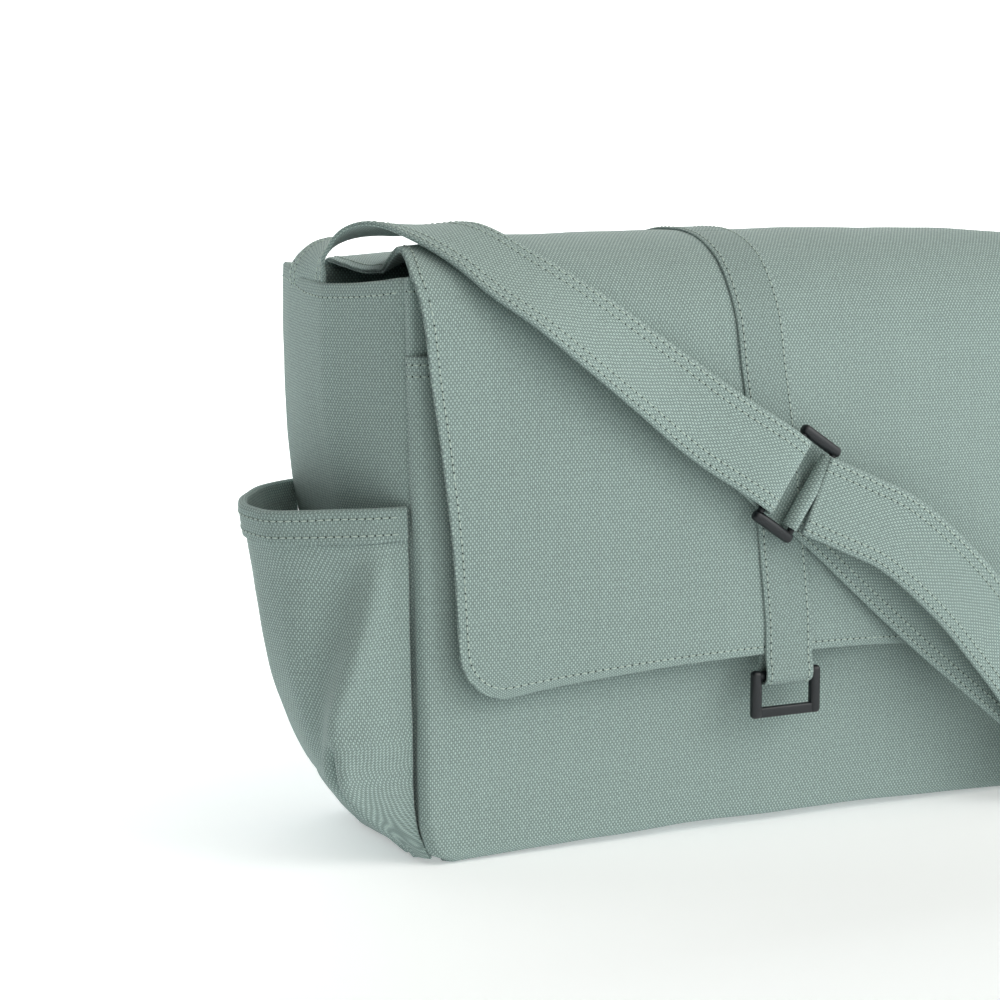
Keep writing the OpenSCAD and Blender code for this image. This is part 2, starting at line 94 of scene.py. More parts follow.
sweep_line = [(-6, 0), (2.2, 0)]
sweep_line += [(2.2 + 1.4 * math.sin(a), 1.4 - 1.4 * math.cos(a)) for a in np.linspace(0.1, 1.57, 14)]
sweep_line += [(3.6, 7)]
sweep_points = [(x, y, z) for y, z in sweep_line for x in (-7, 7)]
sweep_faces = [(2 * i, 2 * i + 1, 2 * i + 3, 2 * i + 2) for i in range(len(sweep_line) - 1)]
sweep = make_mesh("paper_sweep", sweep_points, sweep_faces)
paper = plain_material("paper", PAPER, 0.95)
# the paper glows a little, more towards the back, as it does under its own background lights
paper_tree = paper.node_tree
paper_place = paper_tree.nodes.new("ShaderNodeNewGeometry")
paper_split = paper_tree.nodes.new("ShaderNodeSeparateXYZ")
paper_tree.links.new(paper_place.outputs["Position"], paper_split.inputs[0])
glow = paper_tree.nodes.new("ShaderNodeMapRange")
glow.interpolation_type = "SMOOTHSTEP"
for socket, value in (("From Min", -0.9), ("From Max", 1.6), ("To Min", 0.16), ("To Max", 0.75)):
    glow.inputs[socket].default_value = value
paper_tree.links.new(paper_split.outputs["Y"], glow.inputs["Value"])
paper_tree.links.new(glow.outputs["Result"], paper_tree.nodes["Principled BSDF"].inputs["Emission Strength"])
paper_tree.nodes["Principled BSDF"].inputs["Emission Color"].default_value = (1, 1, 1, 1)
sweep.data.materials.append(paper)

world = bpy.data.worlds.new("studio")
world.use_nodes = True
world_tree = world.node_tree
direction = world_tree.nodes.new("ShaderNodeTexCoord")
facing = world_tree.nodes.new("ShaderNodeVectorMath")
facing.operation = "DOT_PRODUCT"
facing.inputs[1].default_value = SURROUND_FROM.normalized()
world_tree.links.new(direction.outputs["Generated"], facing.inputs[0])
brightness = world_tree.nodes.new("ShaderNodeMapRange")
brightness.interpolation_type = "SMOOTHSTEP"
for socket, value in (("From Min", -0.15), ("From Max", 0.85), ("To Min", 0.0), ("To Max", 1.36 * SURROUND)):
    brightness.inputs[socket].default_value = value
world_tree.links.new(facing.outputs["Value"], brightness.inputs["Value"])
world_tree.links.new(brightness.outputs["Result"], world_tree.nodes["Background"].inputs["Strength"])
# what comes from overhead is warmer than what comes from the front
height_split = world_tree.nodes.new("ShaderNodeSeparateXYZ")
world_tree.links.new(direction.outputs["Generated"], height_split.inputs[0])
warmth = world_tree.nodes.new("ShaderNodeMapRange")
for socket, value in (("From Min", 0.0), ("From Max", 0.7)):
    warmth.inputs[socket].default_value = value
world_tree.links.new(height_split.outputs["Z"], warmth.inputs["Value"])
tint = world_tree.nodes.new("ShaderNodeMix")
tint.data_type = "RGBA"
tint.inputs["A"].default_value = (0.95, 1.0, 1.0, 1)
tint.inputs["B"].default_value = (1.0, 0.94, 0.86, 1)
world_tree.links.new(warmth.outputs["Result"], tint.inputs["Factor"])
world_tree.links.new(tint.outputs["Result"], world_tree.nodes["Background"].inputs["Color"])
bpy.context.scene.world = world
bpy.context.scene.view_settings.view_transform = "Standard"

key = bpy.data.objects.new("key_light", bpy.data.lights.new("key_light", "AREA"))
key.data.energy = KEY_POWER
key.data.size = KEY_SIZE
key.location = KEY_PLACE
key.rotation_euler = (Vector((0, 0, 0.15)) - KEY_PLACE).to_track_quat("-Z", "Y").to_euler()
bpy.context.scene.collection.objects.link(key)

# ---- canvas ----
# Heavy cotton duck in plain weave, dyed sage green. Warp threads lie 1.07 mm apart and weft
# threads 1.48 mm apart, and the gaps between them are painted dark as shade. The weave follows
# each sheet's own flat UV map in metres, so it stays with the cloth.
WARP_PITCH = 1.07 * MM
WEFT_PITCH = 1.48 * MM
THREAD_LIGHT = (0.445, 0.57, 0.535)
# painted shade: the dark colour of the gaps between threads and of the threads lying under
WEAVE_GAP_SHADE = (0.08, 0.118, 0.117)
STITCH_COLOR = (0.46, 0.56, 0.51)


def group_socket(tree, name, direction, kind="NodeSocketFloat", value=None):
    socket = tree.interface.new_socket(name=name, in_out=direction, socket_type=kind)
    if value is not None:
        socket.default_value = value
    return socket


def math_node(tree, operation, a, b=None, clamp=False):
    node = tree.nodes.new("ShaderNodeMath")
    node.operation = operation
    node.use_clamp = clamp
    for i, value in enumerate((a, b)):
        if value is None:
            continue
        if isinstance(value, (int, float)):
            node.inputs[i].default_value = value
        else:
            tree.links.new(value, node.inputs[i])
    return node.outputs[0]


def plain_weave():
    tree = bpy.data.node_groups.new("plain_weave", "ShaderNodeTree")
    group_socket(tree, "Warp pitch", "INPUT", value=WARP_PITCH)
    group_socket(tree, "Weft pitch", "INPUT", value=WEFT_PITCH)
    group_socket(tree, "Height", "OUTPUT")
    group_socket(tree, "Thread tone", "OUTPUT")
    group_socket(tree, "Mottle", "OUTPUT")
    inputs = tree.nodes.new("NodeGroupInput")
    outputs = tree.nodes.new("NodeGroupOutput")
    place = tree.nodes.new("ShaderNodeUVMap")
    split = tree.nodes.new("ShaderNodeSeparateXYZ")
    tree.links.new(place.outputs[0], split.inputs[0])
    # a slow wobble keeps the threads from being ruler straight
    wobble = tree.nodes.new("ShaderNodeTexNoise")
    wobble.inputs["Scale"].default_value = 90
    tree.links.new(place.outputs[0], wobble.inputs["Vector"])
    drift = math_node(tree, "MULTIPLY", math_node(tree, "SUBTRACT", wobble.outputs[0], 0.5), 0.0012)
    s = math_node(tree, "DIVIDE", math_node(tree, "ADD", split.outputs[0], drift), inputs.outputs[0])
    t = math_node(tree, "DIVIDE", math_node(tree, "ADD", split.outputs[1], drift), inputs.outputs[1])
    i, j = math_node(tree, "FLOOR", s), math_node(tree, "FLOOR", t)
    x = math_node(tree, "SUBTRACT", math_node(tree, "FRACT", s), 0.5)
    y = math_node(tree, "SUBTRACT", math_node(tree, "FRACT", t), 0.5)
    warp_over = math_node(tree, "PINGPONG", math_node(tree, "ADD", i, j), 1)

    def arch(value, width):
        return math_node(tree, "COSINE", math_node(tree, "MULTIPLY", value, width))

    across = math_node(tree, "MULTIPLY", arch(x, 2.9), arch(y, 1.9))
    along = math_node(tree, "MULTIPLY", arch(y, 2.9), arch(x, 1.9))
    over = math_node(tree, "MULTIPLY", warp_over, across)
    under = math_node(tree, "MULTIPLY", math_node(tree, "SUBTRACT", 1, warp_over), math_node(
        tree, "MULTIPLY", along, 0.4))
    tree.links.new(math_node(tree, "ADD", over, under, clamp=True), outputs.inputs[0])
    # each thread has its own tone, so pick the thread that lies on top
    number = math_node(tree, "ADD", math_node(tree, "MULTIPLY", warp_over, i), math_node(
        tree, "MULTIPLY", math_node(tree, "SUBTRACT", 1, warp_over), math_node(tree, "ADD", j, 977)))
    dice = tree.nodes.new("ShaderNodeTexWhiteNoise")
    dice.noise_dimensions = "1D"
    tree.links.new(number, dice.inputs["W"])
    tree.links.new(dice.outputs["Value"], outputs.inputs[1])
    mottle = tree.nodes.new("ShaderNodeTexNoise")
    mottle.inputs["Scale"].default_value = 420
    mottle.inputs["Detail"].default_value = 3
    tree.links.new(place.outputs[0], mottle.inputs["Vector"])
    tree.links.new(mottle.outputs[0], outputs.inputs[2])
    return tree


weave_group = plain_weave()


def canvas_material(name, light, gap_shade, bump=0.35):
    material = bpy.data.materials.new(name)
    material.use_nodes = True
    tree = material.node_tree
    shader = tree.nodes["Principled BSDF"]
    weave = tree.nodes.new("ShaderNodeGroup")
    weave.node_tree = weave_group
    # thread height picks between the painted shade of the gaps and the thread colour: the lower the weave
    # lies, the darker it is painted
    ramp = tree.nodes.new("ShaderNodeMix")
    ramp.data_type = "RGBA"
    ramp.inputs["A"].default_value = (*gap_shade, 1)
    ramp.inputs["B"].default_value = (*light, 1)
    rise = math_node(tree, "POWER", weave.outputs["Height"], 0.8)
    tree.links.new(rise, ramp.inputs["Factor"])
    tone = math_node(tree, "ADD", math_node(tree, "MULTIPLY", weave.outputs["Thread tone"], 0.06), 0.97)
    fleck = math_node(tree, "ADD", math_node(tree, "MULTIPLY", weave.outputs["Mottle"], 0.44), 0.78)
    shade = tree.nodes.new("ShaderNodeVectorMath")
    shade.operation = "SCALE"
    tree.links.new(ramp.outputs["Result"], shade.inputs[0])
    tree.links.new(math_node(tree, "MULTIPLY", tone, fleck), shade.inputs["Scale"])
    tree.links.new(shade.outputs[0], shader.inputs["Base Color"])
    lift = tree.nodes.new("ShaderNodeBump")
    lift.inputs["Strength"].default_value = bump
    lift.inputs["Distance"].default_value = 0.0004
    tree.links.new(weave.outputs["Height"], lift.inputs["Height"])
    tree.links.new(lift.outputs[0], shader.inputs["Normal"])
    shader.inputs["Roughness"].default_value = 0.92
    shader.inputs["Specular IOR Level"].default_value = 0.18
    shader.inputs["Sheen Weight"].default_value = 0.12
    shader.inputs["Sheen Roughness"].default_value = 0.6
    return material


canvas = canvas_material("sage_canvas", THREAD_LIGHT, WEAVE_GAP_SHADE)
# a darker copy of the canvas for cloth that faces into the bag: painted shade
canvas_shaded_inside = canvas_material("sage_canvas_shaded_inside", tuple(0.86 * c for c in THREAD_LIGHT), WEAVE_GAP_SHADE)
band_canvas = canvas_material("sage_band", tuple(0.9 * c for c in THREAD_LIGHT), WEAVE_GAP_SHADE)
strap_canvas = canvas_material("sage_strap", tuple(1.06 * c for c in THREAD_LIGHT), WEAVE_GAP_SHADE)
thread = plain_material("sage_thread", STITCH_COLOR, 0.7)
# the needle holes' near-black colour is painted shade inside the holes
needle_hole_shade = plain_material("needle_hole_shade", (0.05, 0.075, 0.066), 0.95)


# Sheets are grids of points, R rows by C columns by 3, whose outer side faces
# (column direction) x (row direction).
def unit(v):
    return v / np.maximum(np.linalg.norm(v, axis=-1, keepdims=True), 1e-9)


def sheet_normals(grid):
    down_rows = np.gradient(grid, axis=0)
    along_columns = np.gradient(grid, axis=1)
    return unit(np.cross(along_columns, down_rows))


def sheet_uv(grid):
    """Flat coordinates in metres, measured along the cloth from the middle row and column."""
    steps_u = np.linalg.norm(np.diff(grid, axis=1), axis=2)
    steps_v = np.linalg.norm(np.diff(grid, axis=0), axis=2)
    u = np.concatenate([np.zeros((grid.shape[0], 1)), np.cumsum(steps_u, axis=1)], axis=1)
    v = np.concatenate([np.zeros((1, grid.shape[1])), np.cumsum(steps_v, axis=0)], axis=0)
    u -= u[:, [grid.shape[1] // 2]]
    v -= v[[grid.shape[0] // 2], :]
    return np.stack([u, v], axis=2) * MM


def rumple(grid, height, size, seed):
    """Soft unevenness of handled cloth: height and size are in millimetres."""
    normals = sheet_normals(grid)
    lift = np.zeros(grid.shape[:2])
    for r in range(grid.shape[0]):
        for c in range(grid.shape[1]):
            p = Vector(grid[r, c] / size) + Vector((seed * 7.3, seed * 3.1, seed))
            lift[r, c] = noise.noise(p) + 0.45 * noise.noise(p * 2.3)
    return grid + normals * lift[..., None] * height


def curve(table, at):
    """Smooth curve through a table of (position, value...) rows without overshoot."""
    table = np.array(table, float)
    x, y = table[:, 0], table[:, 1:]
    h = np.diff(x)[:, None]
    slope = np.diff(y, axis=0) / h
    tangent = np.zeros_like(y)
    tangent[1:-1] = np.where(slope[:-1] * slope[1:] > 0,
                             2 * slope[:-1] * slope[1:] / (slope[:-1] + slope[1:] + 1e-12), 0)
    tangent[0], tangent[-1] = slope[0], slope[-1]
    at = np.atleast_1d(np.asarray(at, float))
    k = np.clip(np.searchsorted(x, at) - 1, 0, len(x) - 2)
    t = np.clip((at - x[k]) / h[k, 0], 0, 1)[:, None]
    hk = h[k]
    out = ((2 * t**3 - 3 * t**2 + 1) * y[k] + (t**3 - 2 * t**2 + t) * hk * tangent[k]
           + (-2 * t**3 + 3 * t**2) * y[k + 1] + (t**3 - t**2) * hk * tangent[k + 1])
    return out[:, 0] if out.shape[1] == 1 else out


def resample(points, step):
    """Points at even steps along a polyline, and the same for any columns past the third."""
    points = np.asarray(points, float)
    length = np.concatenate([[0], np.cumsum(np.linalg.norm(np.diff(points[:, :3], axis=0), axis=1))])
    count = max(2, int(round(length[-1] / step)) + 1)
    at = np.linspace(0, length[-1], count)
    return np.stack([np.interp(at, length, points[:, i]) for i in range(points.shape[1])], axis=1)


STITCH = 3.7
STITCH_GAP = 0.55


def stitch_row(path, normals, length=STITCH, width=0.75):
    """Small rounded thread segments lying on a path, and between them a needle hole: a small dimple painted
    dark as shade.
    """
    both = resample(np.concatenate([path, normals], axis=1), 0.5)
    span = np.concatenate([[0], np.cumsum(np.linalg.norm(np.diff(both[:, :3], axis=0), axis=1))])
    pitch = length + STITCH_GAP
    count = int(span[-1] // pitch)
    verts, faces, marks = [], [], []
    ring = [(math.cos(a), math.sin(a)) for a in np.linspace(0, 2 * math.pi, 6, endpoint=False)]
    for k in range(count):
        start = k * pitch + 0.5 * (span[-1] - count * pitch)
        at = start + np.linspace(0, length, 4)
        p = np.stack([np.interp(at, span, both[:, i]) for i in range(6)], axis=1)
        n = unit(p[:, 3:])
        d = unit(np.gradient(p[:, :3], axis=0))
        side = unit(np.cross(d, n))
        base = len(verts)
        for q, (fat, lift) in enumerate(((0.25, -0.1), (1, 0.16), (1, 0.16), (0.25, -0.1))):
            for cx, cy in ring:
                verts.append(p[q, :3] + side[q] * cx * width / 2 * fat
                             + n[q] * (lift + cy * 0.34 * fat))
        for q in range(3):
            for m in range(6):
                a, b = base + q * 6 + m, base + q * 6 + (m + 1) % 6
                faces.append((a, b, b + 6, a + 6))
                marks.append(1)
        faces += [tuple(base + m for m in reversed(range(6))), tuple(base + 18 + m for m in range(6))]
        marks += [1, 1]
        # the needle hole before this stitch, a small dimple coloured with painted shade
        centre = p[0, :3] - d[0] * STITCH_GAP / 2
        base = len(verts)
        for cx, cy in ring:
            verts.append(centre + side[0] * cx * 0.55 + d[0] * cy * 0.55 + n[0] * 0.05)
        verts.append(centre - n[0] * 0.3)
        order = list(range(base, base + 6))
        if np.dot(np.cross(verts[base + 1] - verts[base], verts[base + 2] - verts[base]), n[0]) < 0:
            order.reverse()
        faces.append(tuple(order))
        faces += [(b, a, base + 6) for a, b in zip(order, order[1:] + order[:1])]
        marks += [2] * 7
    return verts, faces, marks


def finish_cloth(name, verts, faces, uvs, marks, normals, material):
    """Makes the object: marks pick cloth, thread, or the painted shade of a needle hole; normals may be zero
    for free.
    """
    obj = make_mesh(name, np.asarray(verts) * MM, faces)
    layer = obj.data.uv_layers.new(name="flat")
    corner = np.zeros(len(obj.data.loops), int)
    obj.data.loops.foreach_get("vertex_index", corner)
    flat = np.zeros((len(obj.data.vertices), 2))
    flat[:len(uvs)] = uvs
    layer.data.foreach_set("uv", flat[corner].ravel())
    for slot_material in (material, thread, needle_hole_shade):
        obj.data.materials.append(slot_material)
    obj.data.polygons.foreach_set("material_index", np.asarray(marks, np.int32))
    if normals is not None:
        full = np.zeros((len(obj.data.vertices), 3))
        full[:len(normals)] = normals
        obj.data.normals_split_custom_set_from_vertices([tuple(v) for v in full])
    obj.data.update()
    return obj


def sheet_piece(name, grid, up, down, material, rows=None, cut_ends=(), stitches=()):
    """A closed cloth sheet on a grid, up and down thick either side of it, with rounded edges.
    rows picks part of a longer grid, so that two pieces can share one smooth surface."""
    normals, uv = sheet_normals(grid), sheet_uv(grid)
    if rows is not None:
        grid, normals, uv = grid[rows], normals[rows], uv[rows]
    count_r, count_c = grid.shape[:2]
    total = count_r * count_c
    outer, inner = grid + normals * up, grid - normals * down
    number = np.arange(total).reshape(count_r, count_c)
    quads = np.stack([number[:-1, :-1], number[:-1, 1:], number[1:, 1:], number[1:, :-1]], axis=-1)
    quads = quads.reshape(-1, 4)
    loop = ([(0, c) for c in range(count_c - 1)] + [(r, count_c - 1) for r in range(count_r - 1)]
            + [(count_r - 1, c) for c in range(count_c - 1, 0, -1)]
            + [(r, 0) for r in range(count_r - 1, 0, -1)])
    lr, lc = np.array([p[0] for p in loop]), np.array([p[1] for p in loop])
    edge = grid[lr, lc]
    tangent = unit(np.roll(edge, -1, axis=0) - np.roll(edge, 1, axis=0))
    outward = unit(np.cross(tangent, normals[lr, lc]))
    push = np.full(len(loop), 0.5 * (up + down))
    if "first" in cut_ends:
        push[lr == 0] = 0
    if "last" in cut_ends:
        push[lr == count_r - 1] = 0
    rim = edge + normals[lr, lc] * (up - down) / 2 + outward * push[:, None]
    ids = number[lr, lc]
    ring = 2 * total + np.arange(len(loop))
    nxt = np.roll(np.arange(len(loop)), -1)
    strip_a = np.stack([ids, ring, ring[nxt], ids[nxt]], axis=-1)
    strip_b = np.stack([ring, ids + total, ids[nxt] + total, ring[nxt]], axis=-1)
    faces = [*quads, *(quads[:, ::-1] + total), *strip_a, *strip_b]
    verts = np.concatenate([outer.reshape(-1, 3), inner.reshape(-1, 3), rim])
    rim_uv = uv[lr, lc] + np.array([0.0007, 0.0005])
    uvs = np.concatenate([uv.reshape(-1, 2), uv.reshape(-1, 2), rim_uv])
    marks = [0] * len(faces)
    verts, faces = list(verts), list(faces)
    for path, path_normals in stitches:
        add_v, add_f, add_m = stitch_row(path, path_normals)
        base = len(verts)
        verts += add_v
        faces += [tuple(i + base for i in f) for f in add_f]
        marks += add_m
    fixed = normals.reshape(-1, 3) if rows is not None else None
    return finish_cloth(name, verts, faces, uvs, marks, fixed, material)


def edge_row(grid, side, inset, up, first=0.0, last=1.0):
    """A stitching path along one side of a sheet, inset millimetres in from that edge."""
    normals = sheet_normals(grid)
    outer = grid + normals * up
    if side in ("left", "right"):
        lines, line_normals = outer, normals
    else:
        lines, line_normals = outer.transpose(1, 0, 2), normals.transpose(1, 0, 2)
    if side in ("right", "top"):
        lines, line_normals = lines[:, ::-1], line_normals[:, ::-1]
    keep = slice(int(first * (len(lines) - 1)), int(last * (len(lines) - 1)) + 1)
    path, path_normals = [], []
    for line, normal in zip(lines[keep], line_normals[keep]):
        far = np.concatenate([[0], np.cumsum(np.linalg.norm(np.diff(line, axis=0), axis=1))])
        path.append([np.interp(inset, far, line[:, i]) for i in range(3)])
        path_normals.append([np.interp(inset, far, normal[:, i]) for i in range(3)])
    return np.array(path), unit(np.array(path_normals))


def even(points, *stops):
    """Positions from stop to stop, each leg given as (end, step)."""
    out = [points]
    for end, step in stops:
        n = max(1, int(round(abs(end - out[-1]) / step)))
        out += list(np.linspace(out[-1], end, n + 1)[1:])
    return np.array(out)


# ---- front and back walls ----
# Two flat panels of one canvas layer. Their side and bottom edges turn round the body's
# corners and are sewn to the side walls there; the top edge is folded and stitched.
HALF_DEPTH, HALF_WIDTH, HEIGHT, WALL = 70, 200, 310, 2
FRONT_BELLY = 8
CORNER = 4.6
PANEL_HALF = [(2, 188), (6, 197), (12, 200), (24, 203), (150, 205), (220, 208), (310, 210)]


def swell(z):
    z = np.asarray(z, float)
    return np.where(z < 150, np.sin(np.pi / 2 * z / 150), 0.3 + 0.7 * np.cos(np.pi / 2 * (z - 150) / 160))


def corner_rise(x, y, z):
    """The soft back corners of the base don't reach the floor."""
    reach = np.clip((abs(x) - 140) / 55, 0, 1) * np.clip((y - 15) / 50, 0, 1)
    return 12 * reach**2 * max(0.0, 1 - z / 70)


def wall_grid(heights, depth_at, corner, sign):
    """A panel whose sides turn round the corner. depth_at(u, z) is how far out it stands,
    sign is -1 for the front and 1 for the back."""
    rows = []
    turn = np.linspace(0, math.pi / 2, 6)
    for z in heights:
        half = float(curve(PANEL_HALF, z)[0]) + 0.6
        flat = half - corner
        xs = np.linspace(-flat, flat, 72)
        depth = depth_at(xs / half, z)
        under = max(0.0, 5.2 - z)
        tuck = CORNER - math.sqrt(max(0.0, CORNER**2 - min(under, CORNER)**2))
        line = [(x, d - tuck, z + 4 * (1 - (x / half)**2) * max(0, 1 - z / 40)) for x, d in zip(xs, depth)]
        left = [(-flat - corner * math.sin(a), d0 - tuck - corner * (1 - math.cos(a)), z)
                for a, d0 in ((a, depth[0]) for a in turn[:0:-1])]
        left.insert(0, (-half + 0.4, depth[0] - tuck - corner - 2.2, z))
        right = [(-x, y, zz) for x, y, zz in left[::-1]]
        line = left + line + right
        if sign > 0:
            line = [(-x, y, zz + corner_rise(x, y, z)) for x, y, zz in line]
        rows.append([(x, sign * y, zz) for x, y, zz in line])
    return np.array(rows)


def front_depth(u, z):
    return HALF_DEPTH + FRONT_BELLY * (1 - u**2) * swell(z)


def back_depth(u, z):
    return HALF_DEPTH + 2 * (1 - u**2) * math.sin(math.pi * z / HEIGHT)


panel_heights = even(0.6, (5.2, 0.7), (9, 1.2), (30, 4), (HEIGHT, 6.5))
front_grid = rumple(wall_grid(panel_heights, front_depth, CORNER - 1, -1), 0.5, 55, 1)
front_wall = sheet_piece("front_wall", front_grid, 0, WALL, canvas, stitches=[
    edge_row(front_grid, "top", 6.5, 0, 0.03, 0.97)])
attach(front_wall, "bag")
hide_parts("front_panel")

back_grid = rumple(wall_grid(panel_heights, back_depth, CORNER - 1, 1), 0.7, 60, 2)
back_wall = sheet_piece("back_wall", back_grid, 0, WALL, canvas, stitches=[
    edge_row(back_grid, "top", 6.5, 0, 0.03, 0.97)])
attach(back_wall, "bag")
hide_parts("back_panel")

# ---- side walls and base ----
# One strip of canvas runs down each side and meets the other under the base. The top edge
# is folded and stitched, and stands in a soft corner where the side wall has creased.
SIDE_Y = [-66.4, -52, -32, -10, 12, 38, 56, 66.4]
SIDE_SHARE = [0, 0.4, 0.74, 1.03, 1.04, 0.98, 0.85, 0.45]
SIDE_BULGE = [(0, 0), (5, 1), (20, 2), (50, 4), (80, 7), (150, 14), (200, 20), (250, 23.5),
              (280, 23.5), (313, 22)]
RIM_Z = [310, 307.5, 305.5, 304.5, 306, 311, 313, 312]


def side_wall_grid():
    """Left side wall: columns back to front, rows from the middle of the base up to the rim."""
    ys = np.linspace(-66.4, 66.4, 45)[::-1]
    share_sharp = np.interp(ys, SIDE_Y, SIDE_SHARE)
    share_soft = curve(list(zip(SIDE_Y, SIDE_SHARE)), ys)
    rim = 0.55 * np.interp(ys, SIDE_Y, RIM_Z) + 0.45 * curve(list(zip(SIDE_Y, RIM_Z)), ys)
    lip = 5.5 * np.clip((np.abs(ys) - 50) / 16.4, 0, 1)**2
    rows = []
    for x in even(0, (186, 12)):
        rows.append([(-x, y, 0.3 + s + corner_rise(x, y, 0)) for y, s in zip(ys, lip)])
    for a in np.linspace(0.2, 1.3, 6):
        rows.append([(-187 - 12.5 * math.sin(a), y, 0.3 + 12.5 * (1 - math.cos(a)) + s * (1 - a / 1.5)
                      + corner_rise(195, y, 6 * a)) for y, s in zip(ys, lip)])
    for t in even(0, (1, 0.021)):
        line = []
        for k, y in enumerate(ys):
            z = 12.5 + t * (rim[k] - 12.5)
            crease = np.clip((z - 190) / 90, 0, 1)
            share = crease * share_sharp[k] + (1 - crease) * share_soft[k]
            x = curve(PANEL_HALF, z)[0] + share * curve(SIDE_BULGE, z)[0]
            # the outermost columns run under the panels that turn round the corner
            x -= 1.6 * np.clip((abs(y) - 62) / 4.4, 0, 1)
            line.append((-x, y, z + corner_rise(x, y, z)))
        rows.append(line)
    return np.array(rows)


side_grid = rumple(side_wall_grid(), 0.8, 48, 3)
side_grid[..., 2] = np.maximum(side_grid[..., 2], 0.1)


def mirrored(grid):
    return grid[:, ::-1] * np.array([-1, 1, 1])


for side, grid in (("left", side_grid), ("right", mirrored(side_grid))):
    side_wall = sheet_piece(f"side_wall_{side}", grid, 0, WALL, canvas, stitches=[
        edge_row(grid, "top", 6.5, 0, 0.02, 0.98)])
    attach(side_wall, "bag")
    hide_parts(f"gusset_{side}")

# ---- turned-down hem inside the rim ----
# The rim's canvas is folded 20 mm down inside the front and back walls and stitched there.
hem_bottom, hem_top = 288, 309.2
for side, depth, sign in (("front", front_depth, -1), ("back", back_depth, 1)):
    hem_rows = []
    for z in even(hem_bottom, (hem_top, 5)):
        half = float(curve(PANEL_HALF, z)[0]) - 6
        xs = np.linspace(-half, half, 40)
        line = [(x, sign * (d - WALL - 0.5), z) for x, d in zip(xs, depth(xs / (half + 6), z))]
        hem_rows.append(line if sign < 0 else [(-x, y, z) for x, y, z in line])
    hem = sheet_piece(f"rim_hem_{side}", np.array(hem_rows), 0, 1.2, canvas_shaded_inside)
    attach(hem, "bag")
    if side == "front":
        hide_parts("hem_facing")

# ---- front slip pocket ----
# A second layer of canvas over the whole front, hemmed 40 mm below the rim with two rows of
# stitching. It is sewn in with the front wall round both sides and the bottom.
POCKET_HEIGHT, POCKET_BOW, POCKET_WALL = 270, 6, 1.5


def pocket_depth(u, z):
    return HALF_DEPTH + 2.2 + (1 - u**2) * (
        FRONT_BELLY * swell(z) + POCKET_BOW * max(0.0, (z - 100) / (POCKET_HEIGHT - 100)))


pocket_heights = even(0.5, (5.2, 0.7), (9.2, 1.2), (30, 4), (POCKET_HEIGHT - 1.5, 6.5), (POCKET_HEIGHT, 1.5))
pocket_grid = rumple(wall_grid(pocket_heights, pocket_depth, CORNER + 1.4, -1), 0.75, 52, 4)
front_pocket = sheet_piece("front_pocket", pocket_grid, 0.2, POCKET_WALL, canvas, stitches=[
    edge_row(pocket_grid, "top", 4, 0.2, 0.02, 0.98), edge_row(pocket_grid, "top", 10, 0.2, 0.02, 0.98)])
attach(front_pocket, "bag")
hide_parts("front_pocket")

# ---- bellows side pockets ----
# Each side pocket is cut wider than the side wall, so its mouth stands out in a bow, and its
# lower corners are taken in with a short fold. Cross-sections run from the front seam to the
# back one: height, then (distance out from the bag's middle, Y).
SIDE_POCKET = [
    (3, [(195, -65.5), (197, -63), (199, -57), (198, -46), (198, -28), (198, -10), (198, 10),
         (197, 30), (196, 46), (195, 58), (193, 65)]),
    (8, [(198, -65.5), (201, -63), (203, -57), (204, -46), (204, -28), (203, -10), (202, 10),
         (202, 30), (201.5, 46), (201.5, 58), (201.6, 65)]),
    (18, [(202, -65.5), (209, -64), (214, -59), (215, -46), (213, -28), (211, -10), (209, 10),
          (208, 30), (207, 46), (206, 58), (205.4, 65)]),
    (32, [(204, -65.5), (216, -65), (229, -60), (230, -46), (227, -28), (225.5, -10), (220, 10),
          (213, 30), (209.5, 46), (208, 58), (207.5, 65)]),
    (50, [(205, -65.5), (225, -65.5), (243, -60), (245, -45), (243, -28), (240.5, -10), (234, 10),
          (224, 30), (216, 46), (211, 58), (208.4, 65)]),
    (75, [(205, -65.5), (227, -66), (247, -60), (251, -45), (253, -28), (252, -10), (246, 10),
          (236, 30), (226, 46), (215, 58), (210.1, 65)]),
    (110, [(206, -65.5), (224, -66), (241, -62), (253, -45), (261, -28), (263, -10), (257, 10),
           (246, 30), (234, 46), (220, 58), (212.4, 65)]),
    (150, [(206.5, -65.5), (220, -65), (236, -59), (252, -44), (264, -28), (269, -10),
           (264, 10), (253, 30), (241, 46), (227, 58), (215, 65)]),
    (175, [(207, -65), (222, -62), (239, -54), (256, -42), (269, -28), (272.5, -8),
           (267, 12), (256, 30), (244, 46), (230, 58), (217.6, 65)]),
    (190, [(207.5, -65), (222, -61), (240, -52), (258, -42), (271, -28), (275, -8),
           (269, 12), (258, 30), (246, 46), (231, 58), (219.1, 65)])]
MOUTH_DIP = [0, 0.6, 1.2, 2, 2.8, 2, 1, 0.6, 0.2, 0, 0]
# height -> place of the fold, counted in cross-section points from the front seam
FOLD_LINE = [(14, 2.7), (60, 2.25), (75, 2.2), (110, 1.85), (150, 1.45), (175, 1.0)]
# height -> depth of the sewn-in crease, and of the hollow behind the ridge above it
CREASE_DEPTH = [(10, 3), (22, 6.5), (50, 8.5), (62, 5), (72, 0), (190, 0)]
HOLLOW_DEPTH = [(3, 0), (40, 1), (75, 5), (120, 7.5), (150, 6.5), (168, 1.5), (176, 0), (190, 0)]


